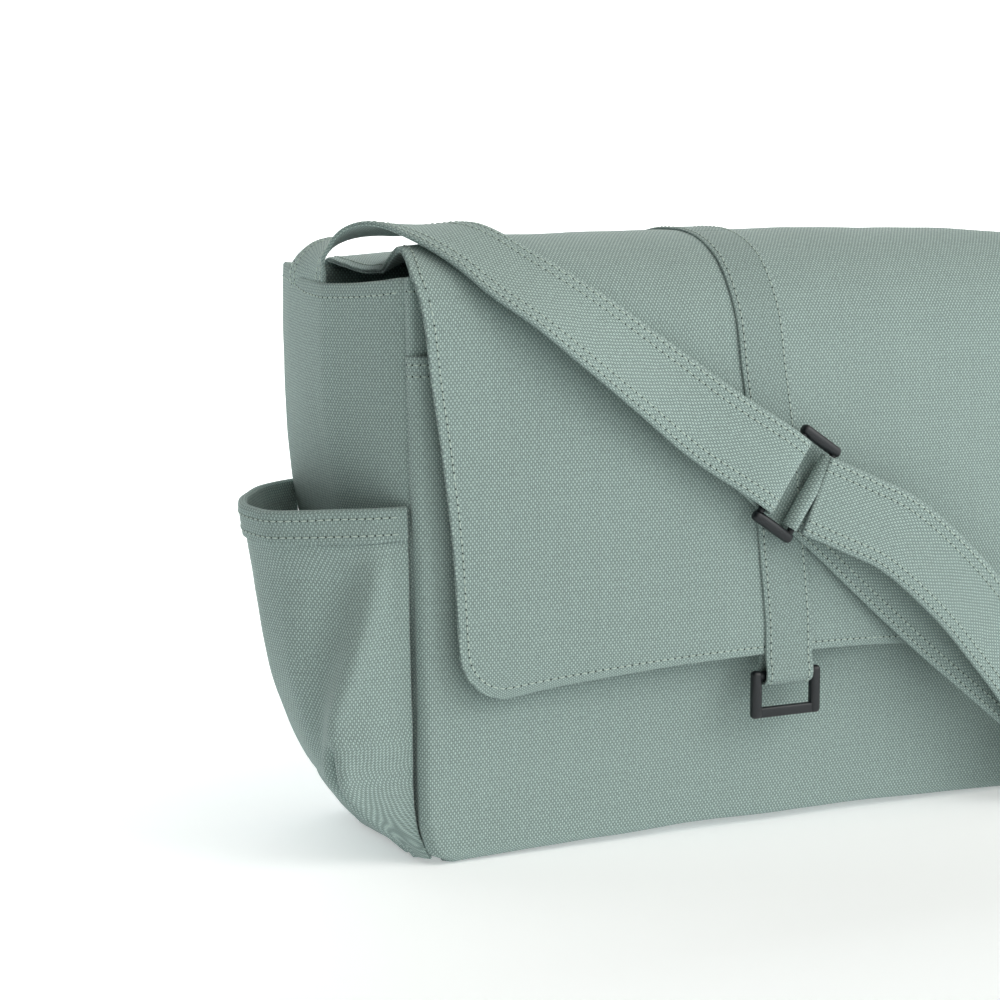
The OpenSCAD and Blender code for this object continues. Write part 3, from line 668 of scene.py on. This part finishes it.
def side_pocket_grid(first, last, step, columns=112):
    """Left pocket: columns back to front, rows upward, smoothed through the cross-sections."""
    heights = [row[0] for row in SIDE_POCKET]
    keys = np.array([row[1] for row in SIDE_POCKET], float)
    zs = even(first, (last, step))
    across = np.linspace(0, 10, columns)
    by_height = np.stack([curve(np.column_stack([heights, keys[:, j]]), zs) for j in range(11)], axis=1)
    dips = curve(np.column_stack([range(11), MOUTH_DIP]), across)
    rows = []
    for k, z in enumerate(zs):
        line = curve(np.column_stack([range(11), by_height[k]]), across)
        z_line = z - dips * np.clip((z - 150) / 30, 0, 1)
        rows.append([(-x - 2.3, y, zz + corner_rise(x, y, z)) for (x, y), zz in zip(line, z_line)][::-1])
    grid = np.array(rows)
    # the fold: a crease drawn in below, and above it a ridge with a hollow behind
    normals = sheet_normals(grid)
    lines = curve(FOLD_LINE, np.clip(zs, 14, 175))
    crease, hollow = curve(CREASE_DEPTH, np.clip(zs, 10, 190)), curve(HOLLOW_DEPTH, zs)
    for k in range(len(zs)):
        gap = across[::-1] - lines[k]
        push = -crease[k] * np.exp(-(gap / 0.2)**2)
        push += 0.42 * crease[k] * (np.exp(-((gap + 0.5) / 0.32)**2) + np.exp(-((gap - 0.5) / 0.3)**2))
        push += hollow[k] * (0.4 * np.exp(-((gap + 0.1) / 0.4)**2) - np.exp(-((gap - 0.95) / 0.62)**2))
        grid[k] += normals[k] * push[:, None]
    return grid


band_split = 174.6
side_pocket_full = rumple(side_pocket_grid(3, 188.5, 2.6), 0.7, 42, 5)
band_base = side_pocket_grid(174.6, 190.4, 1.6)
BAND_OUT, BAND_IN = 1.5, 3.4


def band_rows(base):
    """The folded band: its outer face, a rounded top, and its inner face."""
    normals = sheet_normals(base)
    outer = base + normals * BAND_OUT
    inner = base - normals * BAND_IN
    middle = (outer[-1] + inner[-1]) / 2
    fat = (BAND_OUT + BAND_IN) / 2
    up = np.array([0, 0, 1.0])
    lip = [middle + normals[-1] * fat * math.cos(a) + up * fat * 0.8 * math.sin(a)
           for a in np.linspace(0.3, math.pi - 0.3, 7)]
    return np.concatenate([outer, np.array(lip), inner[::-1]])


for side in ("left", "right"):
    grid = side_pocket_full if side == "left" else mirrored(side_pocket_full)
    base = band_base if side == "left" else mirrored(band_base)
    side_pocket = sheet_piece(f"side_pocket_{side}", grid, 0, WALL, canvas)
    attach(side_pocket, "bag")
    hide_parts(f"side_pocket_{side}")
    folded = band_rows(base)
    outer_rows = base + sheet_normals(base) * BAND_OUT
    pocket_band = sheet_piece(f"side_pocket_band_{side}", folded, 0.1, 0.9, band_canvas, stitches=[
        edge_row(outer_rows, "top", 3.2, 0.15, 0.01, 0.99),
        edge_row(outer_rows, "bottom", 3.6, 0.15, 0.01, 0.99)])
    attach(pocket_band, "bag")
    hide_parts(f"pocket_band_{side}")

# ---- flap ----
# Two layers of canvas sewn together 4 mm in from the free edge. The flap is stitched to the
# back wall, goes over the top in a soft roll and hangs down the front. It bends at the back
# edge and at the front roll, and its free side edges sink where the bag below is open.
FLAP_PLY, FLAP_BOTTOM, FLAP_LIFT, FLAP_BELLY, FLAP_CORNER = 1.5, 90, 13, 13, 28
FLAP_HALF = [(118, 188), (121, 188.2), (166, 191), (213, 196.5), (264, 204), (300, 208), (313, 210)]
FLAP_EDGE_Y = [(80, -85), (255, -85), (280, -85), (292, -83.6), (302, -80.5), (308, -77.7), (312.8, -74.5)]
FLAP_RISE = [(-74.5, 312.8), (-72, 315.5), (-65, 320.5), (-56, 325), (-44, 328.5), (-28, 330.3),
             (-10, 330), (10, 327.5), (35, 323.5), (55, 320), (66, 317.5), (71, 315), (72.9, 313.2)]
FLAP_TOP_HALF = [(-74.5, 210), (-56, 207), (-30, 204), (0, 199), (30, 196.5), (72.9, 196)]
FLAP_DROOP = [(-74.5, 0), (-60, 0), (-50, 1.5), (-40, 6), (-28, 13.5), (-17, 18), (0, 17), (20, 14.5),
              (50, 7), (72.9, 0)]
SEAM_FOOT = 281


def flap_half(z):
    if z < FLAP_BOTTOM + FLAP_CORNER:
        drop = FLAP_BOTTOM + FLAP_CORNER - z
        return 188 - FLAP_CORNER + math.sqrt(max(0.0, FLAP_CORNER**2 - drop**2))
    return float(curve(FLAP_HALF, z)[0])


def flap_front_at(x, z):
    u = x / flap_half(z)
    hang = math.cos(math.pi / 2 * max(0.0, z - 200) / 112.8)
    return (x, float(curve(FLAP_EDGE_Y, z)[0]) - FLAP_BELLY * (1 - u * u) * hang,
            z + FLAP_LIFT * (1 - u * u) * max(0.0, 1 - (z - FLAP_BOTTOM) / 130))


def flap_top_at(x, y):
    u = x / float(curve(FLAP_TOP_HALF, y)[0])
    return (x, y, float(curve(FLAP_RISE, y)[0]) - float(curve(FLAP_DROOP, y)[0]) * abs(u)**7)


flap_zs = np.concatenate([FLAP_BOTTOM + FLAP_CORNER * (1 - np.cos(np.linspace(0, math.pi / 2, 12))),
                          even(126, (280, 6.2), (308, 3.2), (312, 2))])
top_path = resample([(0, y, z) for y, z in zip(np.linspace(-74, 72.4, 160),
                                               curve(FLAP_RISE, np.linspace(-74, 72.4, 160)))], 3.2)
flap_ys = top_path[:, 1]
seam_zs = even(309.5, (SEAM_FOOT, 5))
columns = np.sin(np.linspace(-math.pi / 2, math.pi / 2, 87))
columns = 0.35 * columns + 0.65 * np.linspace(-1, 1, 87)
flap_rows = [[flap_front_at(u * flap_half(z), z) for u in columns] for z in flap_zs]
flap_rows += [[flap_top_at(u * float(curve(FLAP_TOP_HALF, y)[0]), y) for u in columns] for y in flap_ys]
flap_rows += [[(u * 196, 73.7 + 2 * (1 - u * u) * math.sin(math.pi * z / HEIGHT), z)
               for u in columns] for z in seam_zs]
flap_grid = np.array(flap_rows)
sewn_from = len(flap_zs) + len(flap_ys)
crumpled = rumple(flap_grid, 1.0, 62, 6)
flap_grid[:sewn_from - 6] = crumpled[:sewn_from - 6]
flap_split = len(flap_zs) + int(np.argmin(np.abs(flap_ys + 40)))
flap_normals = sheet_normals(flap_grid)


def flap_edge_path(inset):
    """Stitching path round the free edge of the hanging part: down one side and up the other."""
    path = []
    corner = FLAP_CORNER - inset
    zs = list(np.arange(300, FLAP_BOTTOM + FLAP_CORNER, -4.0))
    path += [(-(flap_half(z) - inset), z) for z in zs]
    centre_x, centre_z = 188 - FLAP_CORNER, FLAP_BOTTOM + FLAP_CORNER
    path += [(-centre_x - corner * math.cos(a), centre_z - corner * math.sin(a))
             for a in np.linspace(0.05, math.pi / 2, 12)]
    path += [(x, FLAP_BOTTOM + inset) for x in np.linspace(-centre_x + 6, centre_x - 6, 60)]
    path += [(centre_x + corner * math.sin(a), centre_z - corner * math.cos(a))
             for a in np.linspace(0, math.pi / 2 - 0.05, 12)]
    path += [(flap_half(z) - inset, z) for z in zs[::-1]]
    return on_flap(path)


def on_flap(path):
    """The nearest places on the crumpled flap to points (x, z) on its smooth front."""
    smooth = np.array([flap_front_at(x, z) for x, z in path])
    normals = []
    shift = []
    front = flap_grid[:len(flap_zs)].reshape(-1, 3)
    front_normals = flap_normals[:len(flap_zs)].reshape(-1, 3)
    for p in smooth:
        near = np.argsort(np.sum((front[:, [0, 2]] - p[[0, 2]])**2, axis=1))[:4]
        weight = 1 / (0.3 + np.sum((front[near][:, [0, 2]] - p[[0, 2]])**2, axis=1))
        weight /= weight.sum()
        shift.append((front[near, 1] * weight).sum())
        normals.append((front_normals[near] * weight[:, None]).sum(axis=0))
    smooth[:, 1] = shift
    return smooth, unit(np.array(normals))


flap_top_rows = slice(flap_split, None)
flap_front_rows = slice(0, flap_split + 1)
flap_top = sheet_piece("flap_top", flap_grid, 0, FLAP_PLY, canvas, rows=flap_top_rows,
                       cut_ends=("first",), stitches=[
    edge_row(flap_grid[flap_top_rows], "left", 4, 0.1),
    edge_row(flap_grid[flap_top_rows], "right", 4, 0.1),
    edge_row(flap_grid[flap_top_rows], "top", 4, 0.1), edge_row(flap_grid[flap_top_rows], "top", 26, 0.1)])
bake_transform(flap_top)
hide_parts("flap_top_outer", "flap_seam")
flap_front = sheet_piece("flap_front", flap_grid, 0, FLAP_PLY, canvas, rows=flap_front_rows,
                         cut_ends=("last",), stitches=[
    flap_edge_path(4),
    edge_row(flap_grid[len(flap_zs) - 4:flap_split + 1], "left", 4, 0.1),
    edge_row(flap_grid[len(flap_zs) - 4:flap_split + 1], "right", 4, 0.1)])
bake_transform(flap_front)
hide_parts("flap_front_outer")

lining_grid = flap_grid - flap_normals * (FLAP_PLY + 0.05)
lining_split = slice(flap_split, sewn_from - 2)
flap_top_lining = sheet_piece("flap_top_lining", lining_grid, 0, FLAP_PLY, canvas_shaded_inside,
                              rows=lining_split, cut_ends=("first",))
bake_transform(flap_top_lining)
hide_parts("flap_top_lining")
flap_front_lining = sheet_piece("flap_front_lining", lining_grid, 0, FLAP_PLY, canvas_shaded_inside,
                                rows=flap_front_rows, cut_ends=("last",))
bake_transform(flap_front_lining)
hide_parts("flap_front_lining")

# ---- band, its loop and the flap ring ----
# A 30 mm band of folded canvas is sewn down the middle of the flap with a row of stitching
# near each edge. Its lower end goes round the ring's top bar and back up behind the flap.
BAND_WIDTH, BAND_PLY = 30, 1.5
RING_X, RING_Y, RING_Z, RING_WIDTH, RING_PITCH, RING_BAR = 4.5, -96, 90, 44, 20.4, 2.6
BAND_LEAN = [(90, RING_X), (110, 4), (200, -5), (260, -11), (313, -13)]


def ribbon_frames(samples):
    """Tangent, width and face directions along samples of (point, width direction)."""
    points, width = samples[:, :3], samples[:, 3:6]
    tangent = unit(np.gradient(points, axis=0))
    across = unit(width - np.sum(width * tangent, axis=1, keepdims=True) * tangent)
    return points, tangent, across, np.cross(tangent, across)


def ribbon_profile(width, ply):
    """Closed outline across a doubled strip: flat faces and a groove between the two layers."""
    half, thick = width / 2, ply / 2
    top = [(a, thick) for a in np.linspace(half - 0.8, -half + 0.8, 9)]
    edge = [(-half + 0.25, thick * 0.72), (-half, thick * 0.35), (-half + 0.6, 0),
            (-half, -thick * 0.35), (-half + 0.25, -thick * 0.72)]
    bottom = [(a, -thick) for a in np.linspace(-half + 0.8, half - 0.8, 9)]
    return top + edge + bottom + [(-a, b) for a, b in edge[::-1]]


def ribbon_piece(name, samples, width, ply, material, rows=(), cross_rows=(), part=slice(None)):
    """A strip along samples, with stitching rows given as distances in from each edge and
    cross rows given as distances along it."""
    points, tangent, across, face = ribbon_frames(samples)
    far = np.concatenate([[0], np.cumsum(np.linalg.norm(np.diff(points, axis=0), axis=1))])
    points, tangent, across, face, far = (a[part] for a in (points, tangent, across, face, far))
    profile = np.array(ribbon_profile(width, ply))
    m, n = len(profile), len(points)
    verts = (points[:, None] + across[:, None] * profile[None, :, :1] + face[:, None] * profile[None, :, 1:])
    around = np.concatenate([[0], np.cumsum(np.linalg.norm(np.diff(profile, axis=0), axis=1))])
    uvs = np.stack([np.broadcast_to(around, (n, m)), np.broadcast_to(far[:, None], (n, m))], axis=2)
    number = np.arange(n * m).reshape(n, m)
    turn = np.roll(number, -1, axis=1)
    faces = [(a, b, c, d) for a, b, c, d in np.stack(
        [number[:-1], turn[:-1], turn[1:], number[1:]], axis=-1).reshape(-1, 4)]
    faces += [tuple(number[0][::-1]), tuple(number[-1])]
    verts, marks = list(verts.reshape(-1, 3)), [0] * len(faces)
    paths = [(points + across * s * (width / 2 - inset) + face * ply / 2, face)
             for inset in rows for s in (-1, 1)]
    for at in cross_rows:
        k = int(np.argmin(np.abs(far - far[0] - at)))
        line = np.linspace(-width / 2 + 3, width / 2 - 3, 20)[:, None]
        paths.append((points[k] + across[k] * line + face[k] * ply / 2, np.repeat(face[k][None], 20, axis=0)))
    for path, path_normals in paths:
        add_v, add_f, add_m = stitch_row(path, path_normals)
        base = len(verts)
        verts += add_v
        faces += [tuple(i + base for i in f) for f in add_f]
        marks += add_m
    return finish_cloth(name, verts, faces, uvs.reshape(-1, 2) * MM, marks, None, material)


def along_flap(row, x):
    """Point and outward direction on one row of the flap at sideways place x."""
    line = flap_grid[row]
    at = [np.interp(x, line[:, 0], line[:, k]) for k in range(3)]
    out = [np.interp(x, line[:, 0], flap_normals[row][:, k]) for k in range(3)]
    return at + out


rows_of_flap = range(len(flap_grid) - 1, -1, -1)
lean = np.interp(np.r_[flap_zs, np.full(len(flap_grid) - len(flap_zs), 313.0)],
                 [z for z, _ in BAND_LEAN], [x for _, x in BAND_LEAN])
middle = np.array([along_flap(row, lean[row]) for row in rows_of_flap])
band_line = middle[:, :3] + unit(middle[:, 3:]) * (BAND_PLY / 2 + 0.15)
keep = band_line[:, 2] > 105.5
keep |= band_line[:, 1] > -60
band_line = band_line[keep]
loop_line = [(RING_X, RING_Y - 3.1, 99.5), (RING_X, RING_Y - 4.4, 94.5)]
loop_line += [(RING_X, RING_Y - 4.65 * math.cos(a), RING_Z - 4.65 * math.sin(a))
              for a in np.linspace(0, math.pi, 14)]
loop_line += [(RING_X, RING_Y + 3.7, 96), (RING_X, RING_Y + 2.7, 101), (RING_X, RING_Y + 2.4, 110)]
whole = np.concatenate([band_line, loop_line])
whole = resample(whole, 2.2)
band_samples = np.concatenate([whole, np.tile([1.0, 0, 0], (len(whole), 1))], axis=1)
band_cut = int(np.argmin(np.abs(whole[:, 1] + 40) + 1000 * (whole[:, 2] < 300)))
band_top = ribbon_piece("band_top", band_samples, BAND_WIDTH, BAND_PLY, band_canvas, rows=(3,),
                        part=slice(0, band_cut + 1))
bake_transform(band_top)
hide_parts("band_top")
band_front = ribbon_piece("band_front", band_samples, BAND_WIDTH, BAND_PLY, band_canvas, rows=(3,),
                          part=slice(band_cut, None))
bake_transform(band_front)
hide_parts("band_front", "band_loop")

# The ring is cast metal with a satin black coat: a round top bar, thick rounded rails and a
# flat bottom bar.
BLACK = (0.007, 0.01, 0.013)
black_metal = plain_material("black_metal", BLACK, 0.42, 0.25)
black_metal.node_tree.nodes["Principled BSDF"].inputs["Coat Weight"].default_value = 0.25
black_metal.node_tree.nodes["Principled BSDF"].inputs["Coat Roughness"].default_value = 0.35


def block(parts, centre, size, radius):
    """A box with rounded edges, added to a bmesh."""
    made = bmesh.ops.create_cube(parts, size=1)["verts"]
    bmesh.ops.scale(parts, vec=Vector(size), verts=made)
    bmesh.ops.translate(parts, vec=Vector(centre), verts=made)
    edges = list({e for v in made for e in v.link_edges})
    bmesh.ops.bevel(parts, geom=edges, offset=radius, segments=5, profile=0.5, affect="EDGES")


def bar(parts, centre, axis, length, radius):
    """A round bar, added to a bmesh."""
    turn = Vector((0, 0, 1)).rotation_difference(Vector(axis)).to_matrix().to_4x4()
    bmesh.ops.create_cone(parts, cap_ends=True, segments=28, radius1=radius, radius2=radius,
                          depth=length, matrix=Matrix.Translation(Vector(centre)) @ turn)


def metal_piece(name, parts, place, body, *nodes):
    bmesh.ops.scale(parts, vec=(MM, MM, MM), verts=parts.verts)
    mesh = bpy.data.meshes.new(name)
    parts.to_mesh(mesh)
    parts.free()
    mesh.transform(place)
    mesh.polygons.foreach_set("use_smooth", [True] * len(mesh.polygons))
    mesh.set_sharp_from_angle(angle=math.radians(40))
    obj = bpy.data.objects.new(name, mesh)
    bpy.context.scene.collection.objects.link(obj)
    obj.data.materials.append(black_metal)
    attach(obj, body)
    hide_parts(*nodes)
    return obj


parts = bmesh.new()
bar(parts, (0, 0, 0), (1, 0, 0), RING_WIDTH - 4, RING_BAR)
block(parts, (0, 0, -RING_PITCH), (RING_WIDTH - 4, 3.8, 5.8), 1.1)
for s in (-1, 1):
    block(parts, (s * (RING_WIDTH / 2 - 3.1), 0, -RING_PITCH / 2), (6.2, 5.4, RING_PITCH + 6.2), 2.2)
flap_ring = metal_piece("flap_ring", parts, Matrix.Translation((RING_X * MM, RING_Y * MM, RING_Z * MM)),
                        "pull_ring", "flap_ring")

# ---- shoulder strap ----
# A tube of canvas pressed flat, 45 mm wide, with two rows of stitching along each edge. The
# left part comes out of the left side wall and is folded round the strap ring's left bar and
# sewn; the long part is folded round the right bar, runs doubled down to the slider, and goes
# on behind the bag's right side up to its own anchor.
STRAP_WIDTH, STRAP_PLY, FOLD_RADIUS = 45, 2.6, 4.9
RING_CENTRE, SLIDER_CENTRE = np.array([2.5, -107, 196.5]), np.array([186, -105, 44.0])
RING_SLOPE, SLIDER_SLOPE = math.radians(34), math.radians(39.5)
RING_BARS, RING_SPAN = 22.6, 60
LEFT_ARCH = [
    (-224, 14.5, 268, 0, 1, 0), (-228, 14.5, 290, 0, 1, 0.05), (-230.6, 14.6, 309, 0, 0.98, 0.19),
    (-225.4, 12.4, 320.1, 0.27, 0.94, 0.19), (-216, 6.6, 326.4, 0.58, 0.81, 0.08),
    (-208.1, -1.1, 330.9, 0.77, 0.64, -0.04), (-201.5, -10, 332.9, 0.84, 0.53, -0.13),
    (-195.7, -19.9, 334.7, 0.88, 0.46, -0.11), (-190.3, -30.8, 335.1, 0.9, 0.43, -0.03)]
LEFT_ROUTE = [
    (-184.8, -42.8, 334.2, 0.91, 0.41, 0.1), (-178, -56.2, 330.9, 0.87, 0.43, 0.23),
    (-168.2, -69.9, 323.1, 0.83, 0.45, 0.33), (-156.7, -82, 312, 0.7, 0.5, 0.5),
    (-140.5, -91.2, 300, 0.62, 0.5, 0.6), (-119.8, -97.8, 284.2, 0.64, 0.4, 0.66),
    (-82.8, -103.2, 256, 0.57, 0.26, 0.78), (-48.7, -107.5, 230, 0.54, 0.04, 0.84)]
LONG_MIDDLE = [(34, -102, 172, 0.64, 0, 0.77), (57, -102, 151.5, 0.677, 0, 0.736),
               (103.6, -102.5, 111.5, 0.66, 0, 0.75)]
LONG_SIDE = [
    (236, -99, 26, 0.6, -0.4, 0.6), (257, -83, 34, 0.46, -0.78, 0.4), (275, -63, 60, 0.22, -0.95, 0.14),
    (285, -46, 98, 0.08, -0.98, -0.05), (291, -34, 148, 0, -1, -0.1), (293, -22, 200, 0, -1, -0.1),
    (288, -10, 247, 0, -1, -0.08), (277, -2, 282, 0, -1, -0.05), (265, 5, 306, 0, -1, 0),
    (253, 10, 317.5, 0, -1, 0), (242, 13, 321, 0, -1, 0), (233.5, 14.4, 319, 0, -1, 0),
    (229.3, 14.5, 310, 0, -1, -0.02), (226, 14.5, 285, 0, -1, -0.01), (222, 14.5, 262, 0, -1, 0)]
UPPER = [(37, -116, 178.8, 0.52, 0, 0.85), (62, -119, 166.5, 0.56, 0, 0.83), (100, -121, 135, 0.66, 0, 0.75),
         (132, -119, 102, 0.7, 0, 0.71), (152, -115.5, 80.5, 0.68, 0, 0.73)]


def local_key(centre, slope, x, out):
    """A key on a line through a ring: x along the strap, out towards the front."""
    return (centre[0] + x * math.cos(slope), centre[1] - out, centre[2] - x * math.sin(slope),
            math.sin(slope), 0, math.cos(slope))


def smooth_keys(keys, per_span=9):
    keys = np.array(keys, float)
    knots = np.concatenate([[0], np.cumsum(np.linalg.norm(np.diff(keys[:, :3], axis=0), axis=1)**0.5)])
    out = []
    for i in range(len(keys) - 1):
        a, b = keys[i], keys[i + 1]
        h = knots[i + 1] - knots[i]
        before = keys[i - 1] if i else a
        after = keys[i + 2] if i + 2 < len(keys) else b
        h0 = knots[i] - knots[i - 1] if i else h
        h2 = knots[i + 2] - knots[i + 1] if i + 2 < len(keys) else h
        ma = ((b - a) / h * h0 + (a - before) / h0 * h) / (h0 + h) if i else (b - a) / h
        mb = ((after - b) / h2 * h + (b - a) / h * h2) / (h + h2) if i + 2 < len(keys) else (b - a) / h
        for t in np.arange(per_span) / per_span:
            out.append((2 * t**3 - 3 * t**2 + 1) * a + (t**3 - 2 * t**2 + t) * h * ma
                       + (3 * t**2 - 2 * t**3) * b + (t**3 - t**2) * h * mb)
    out.append(keys[-1])
    return np.array(out)


ring_left = -RING_BARS / 2
left_keys = LEFT_ARCH + LEFT_ROUTE + [local_key(RING_CENTRE, RING_SLOPE, -22, FOLD_RADIUS),
                                      local_key(RING_CENTRE, RING_SLOPE, ring_left, FOLD_RADIUS)]
left_fold = [local_key(RING_CENTRE, RING_SLOPE, ring_left + FOLD_RADIUS * math.sin(a),
                       FOLD_RADIUS * math.cos(a)) for a in np.linspace(0.2, math.pi, 14)]
left_tail = [local_key(RING_CENTRE, RING_SLOPE, x, z) for x, z in (
    (-15, -4.2), (-20, -1.6), (-26, 0.9), (-32, 2.1), (-38.5, 2.3))]
left_samples = resample(np.concatenate([smooth_keys(left_keys), left_fold, left_tail]), 2.5)
strap_left = ribbon_piece("strap_left", left_samples, STRAP_WIDTH, STRAP_PLY, strap_canvas, rows=(3, 8))
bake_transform(strap_left)
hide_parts("strap_left", "strap_left_arch", "anchor_left")

long_fold = [local_key(RING_CENTRE, RING_SLOPE, -ring_left - FOLD_RADIUS * math.sin(a),
                       FOLD_RADIUS * math.cos(a)) for a in np.linspace(0, math.pi, 14)]
long_keys = [local_key(RING_CENTRE, RING_SLOPE, 13.5, -FOLD_RADIUS)] + LONG_MIDDLE + [
    local_key(SLIDER_CENTRE, SLIDER_SLOPE, x, 0) for x in (-46, 0, 34)] + LONG_SIDE
long_smooth = smooth_keys(long_keys)
long_smooth[:, 3:6] *= 1
# the long strap's front face points to the front while it hangs, and outward at the side
long_samples = resample(np.concatenate([long_fold, long_smooth]), 3)
arch_start = int(np.argmin(np.linalg.norm(long_samples[:, :3] - np.array([288, -10, 252]), axis=1)))
strap_long = ribbon_piece("strap_long", long_samples, STRAP_WIDTH, STRAP_PLY, strap_canvas, rows=(3, 8),
                          part=slice(0, arch_start + 1))
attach(strap_long, "strap")
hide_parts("strap_long")
strap_end = ribbon_piece("strap_end_right", long_samples, STRAP_WIDTH, STRAP_PLY, strap_canvas, rows=(3, 8),
                         part=slice(arch_start, None))
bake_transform(strap_end)
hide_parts("strap_right_arch", "anchor_right")

upper_keys = [local_key(RING_CENTRE, RING_SLOPE, 11.3, FOLD_RADIUS)] + UPPER + [
    local_key(SLIDER_CENTRE, SLIDER_SLOPE, -24, 7.4), local_key(SLIDER_CENTRE, SLIDER_SLOPE, -17, 7)]
upper_samples = resample(smooth_keys(upper_keys), 2.5)
strap_upper = ribbon_piece("strap_upper", upper_samples, STRAP_WIDTH, STRAP_PLY, strap_canvas, rows=(3, 8))
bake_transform(strap_upper)
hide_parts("strap_upper")

# ---- strap ring and slider ----
# Both are the same satin black metal. The ring has two round bars and thick rounded ends;
# the slider has flat outer bars behind the strap and a centre bar in front that holds the
# sewn end of the upper layer.


def ring_place(centre, slope):
    """Local x along the strap, y across it, z towards the front."""
    c, s = math.cos(slope), math.sin(slope)
    turn = Matrix(((c, s, 0, 0), (0, 0, -1, 0), (-s, c, 0, 0), (0, 0, 0, 1)))
    return Matrix.Translation(Vector(centre * MM)) @ turn


parts = bmesh.new()
for s in (-1, 1):
    bar(parts, (s * RING_BARS / 2, 0, 0), (0, 1, 0), RING_SPAN - 5, 2)
    block(parts, (0, s * (RING_SPAN / 2 - 3), 0), (RING_BARS + 6, 6.2, 6.4), 2.7)
strap_ring = metal_piece("strap_ring", parts, ring_place(RING_CENTRE, RING_SLOPE),
                         "joining_ring", "strap_ring")

parts = bmesh.new()
for s in (-1, 1):
    block(parts, (s * 13, 0, -3), (5, 56, 2.4), 0.9)
    block(parts, (0, s * (STRAP_WIDTH / 2 + 4.2), 1.4), (31, 6, 11.2), 2.4)
block(parts, (0, 0, 5.9), (6, 56, 2.2), 0.8)
slider = metal_piece("slider", parts, ring_place(SLIDER_CENTRE, SLIDER_SLOPE), "strap_slider", "slider")

tail_line = [(-18.6, 7.2), (-9, 8.9), (-3, 9.2), (2.8, 8.7), (5.2, 6.6), (4.8, 4), (2.4, 3.1), (-4, 2.9),
             (-10, 3.6), (-18.6, 4.7)]
tail_samples = resample(smooth_keys([local_key(SLIDER_CENTRE, SLIDER_SLOPE, x, z) for x, z in tail_line], 4),
                        1.5)
tail_loop = ribbon_piece("tail_loop", tail_samples, STRAP_WIDTH, 1.9, strap_canvas)
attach(tail_loop, "strap_slider")
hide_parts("tail_loop")

# ---- magnetic snap ----
# A hidden round snap holds the flap shut: a socket on the front pocket and a stud on the
# flap's lining, both nickel. Their CAD shapes are right, so they stay.
nickel = plain_material("nickel", (0.55, 0.55, 0.54), 0.3, 1.0)
for node_name in ("snap_socket", "snap_stud"):
    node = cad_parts[node_name]
    node.data.materials.clear()
    node.data.materials.append(nickel)
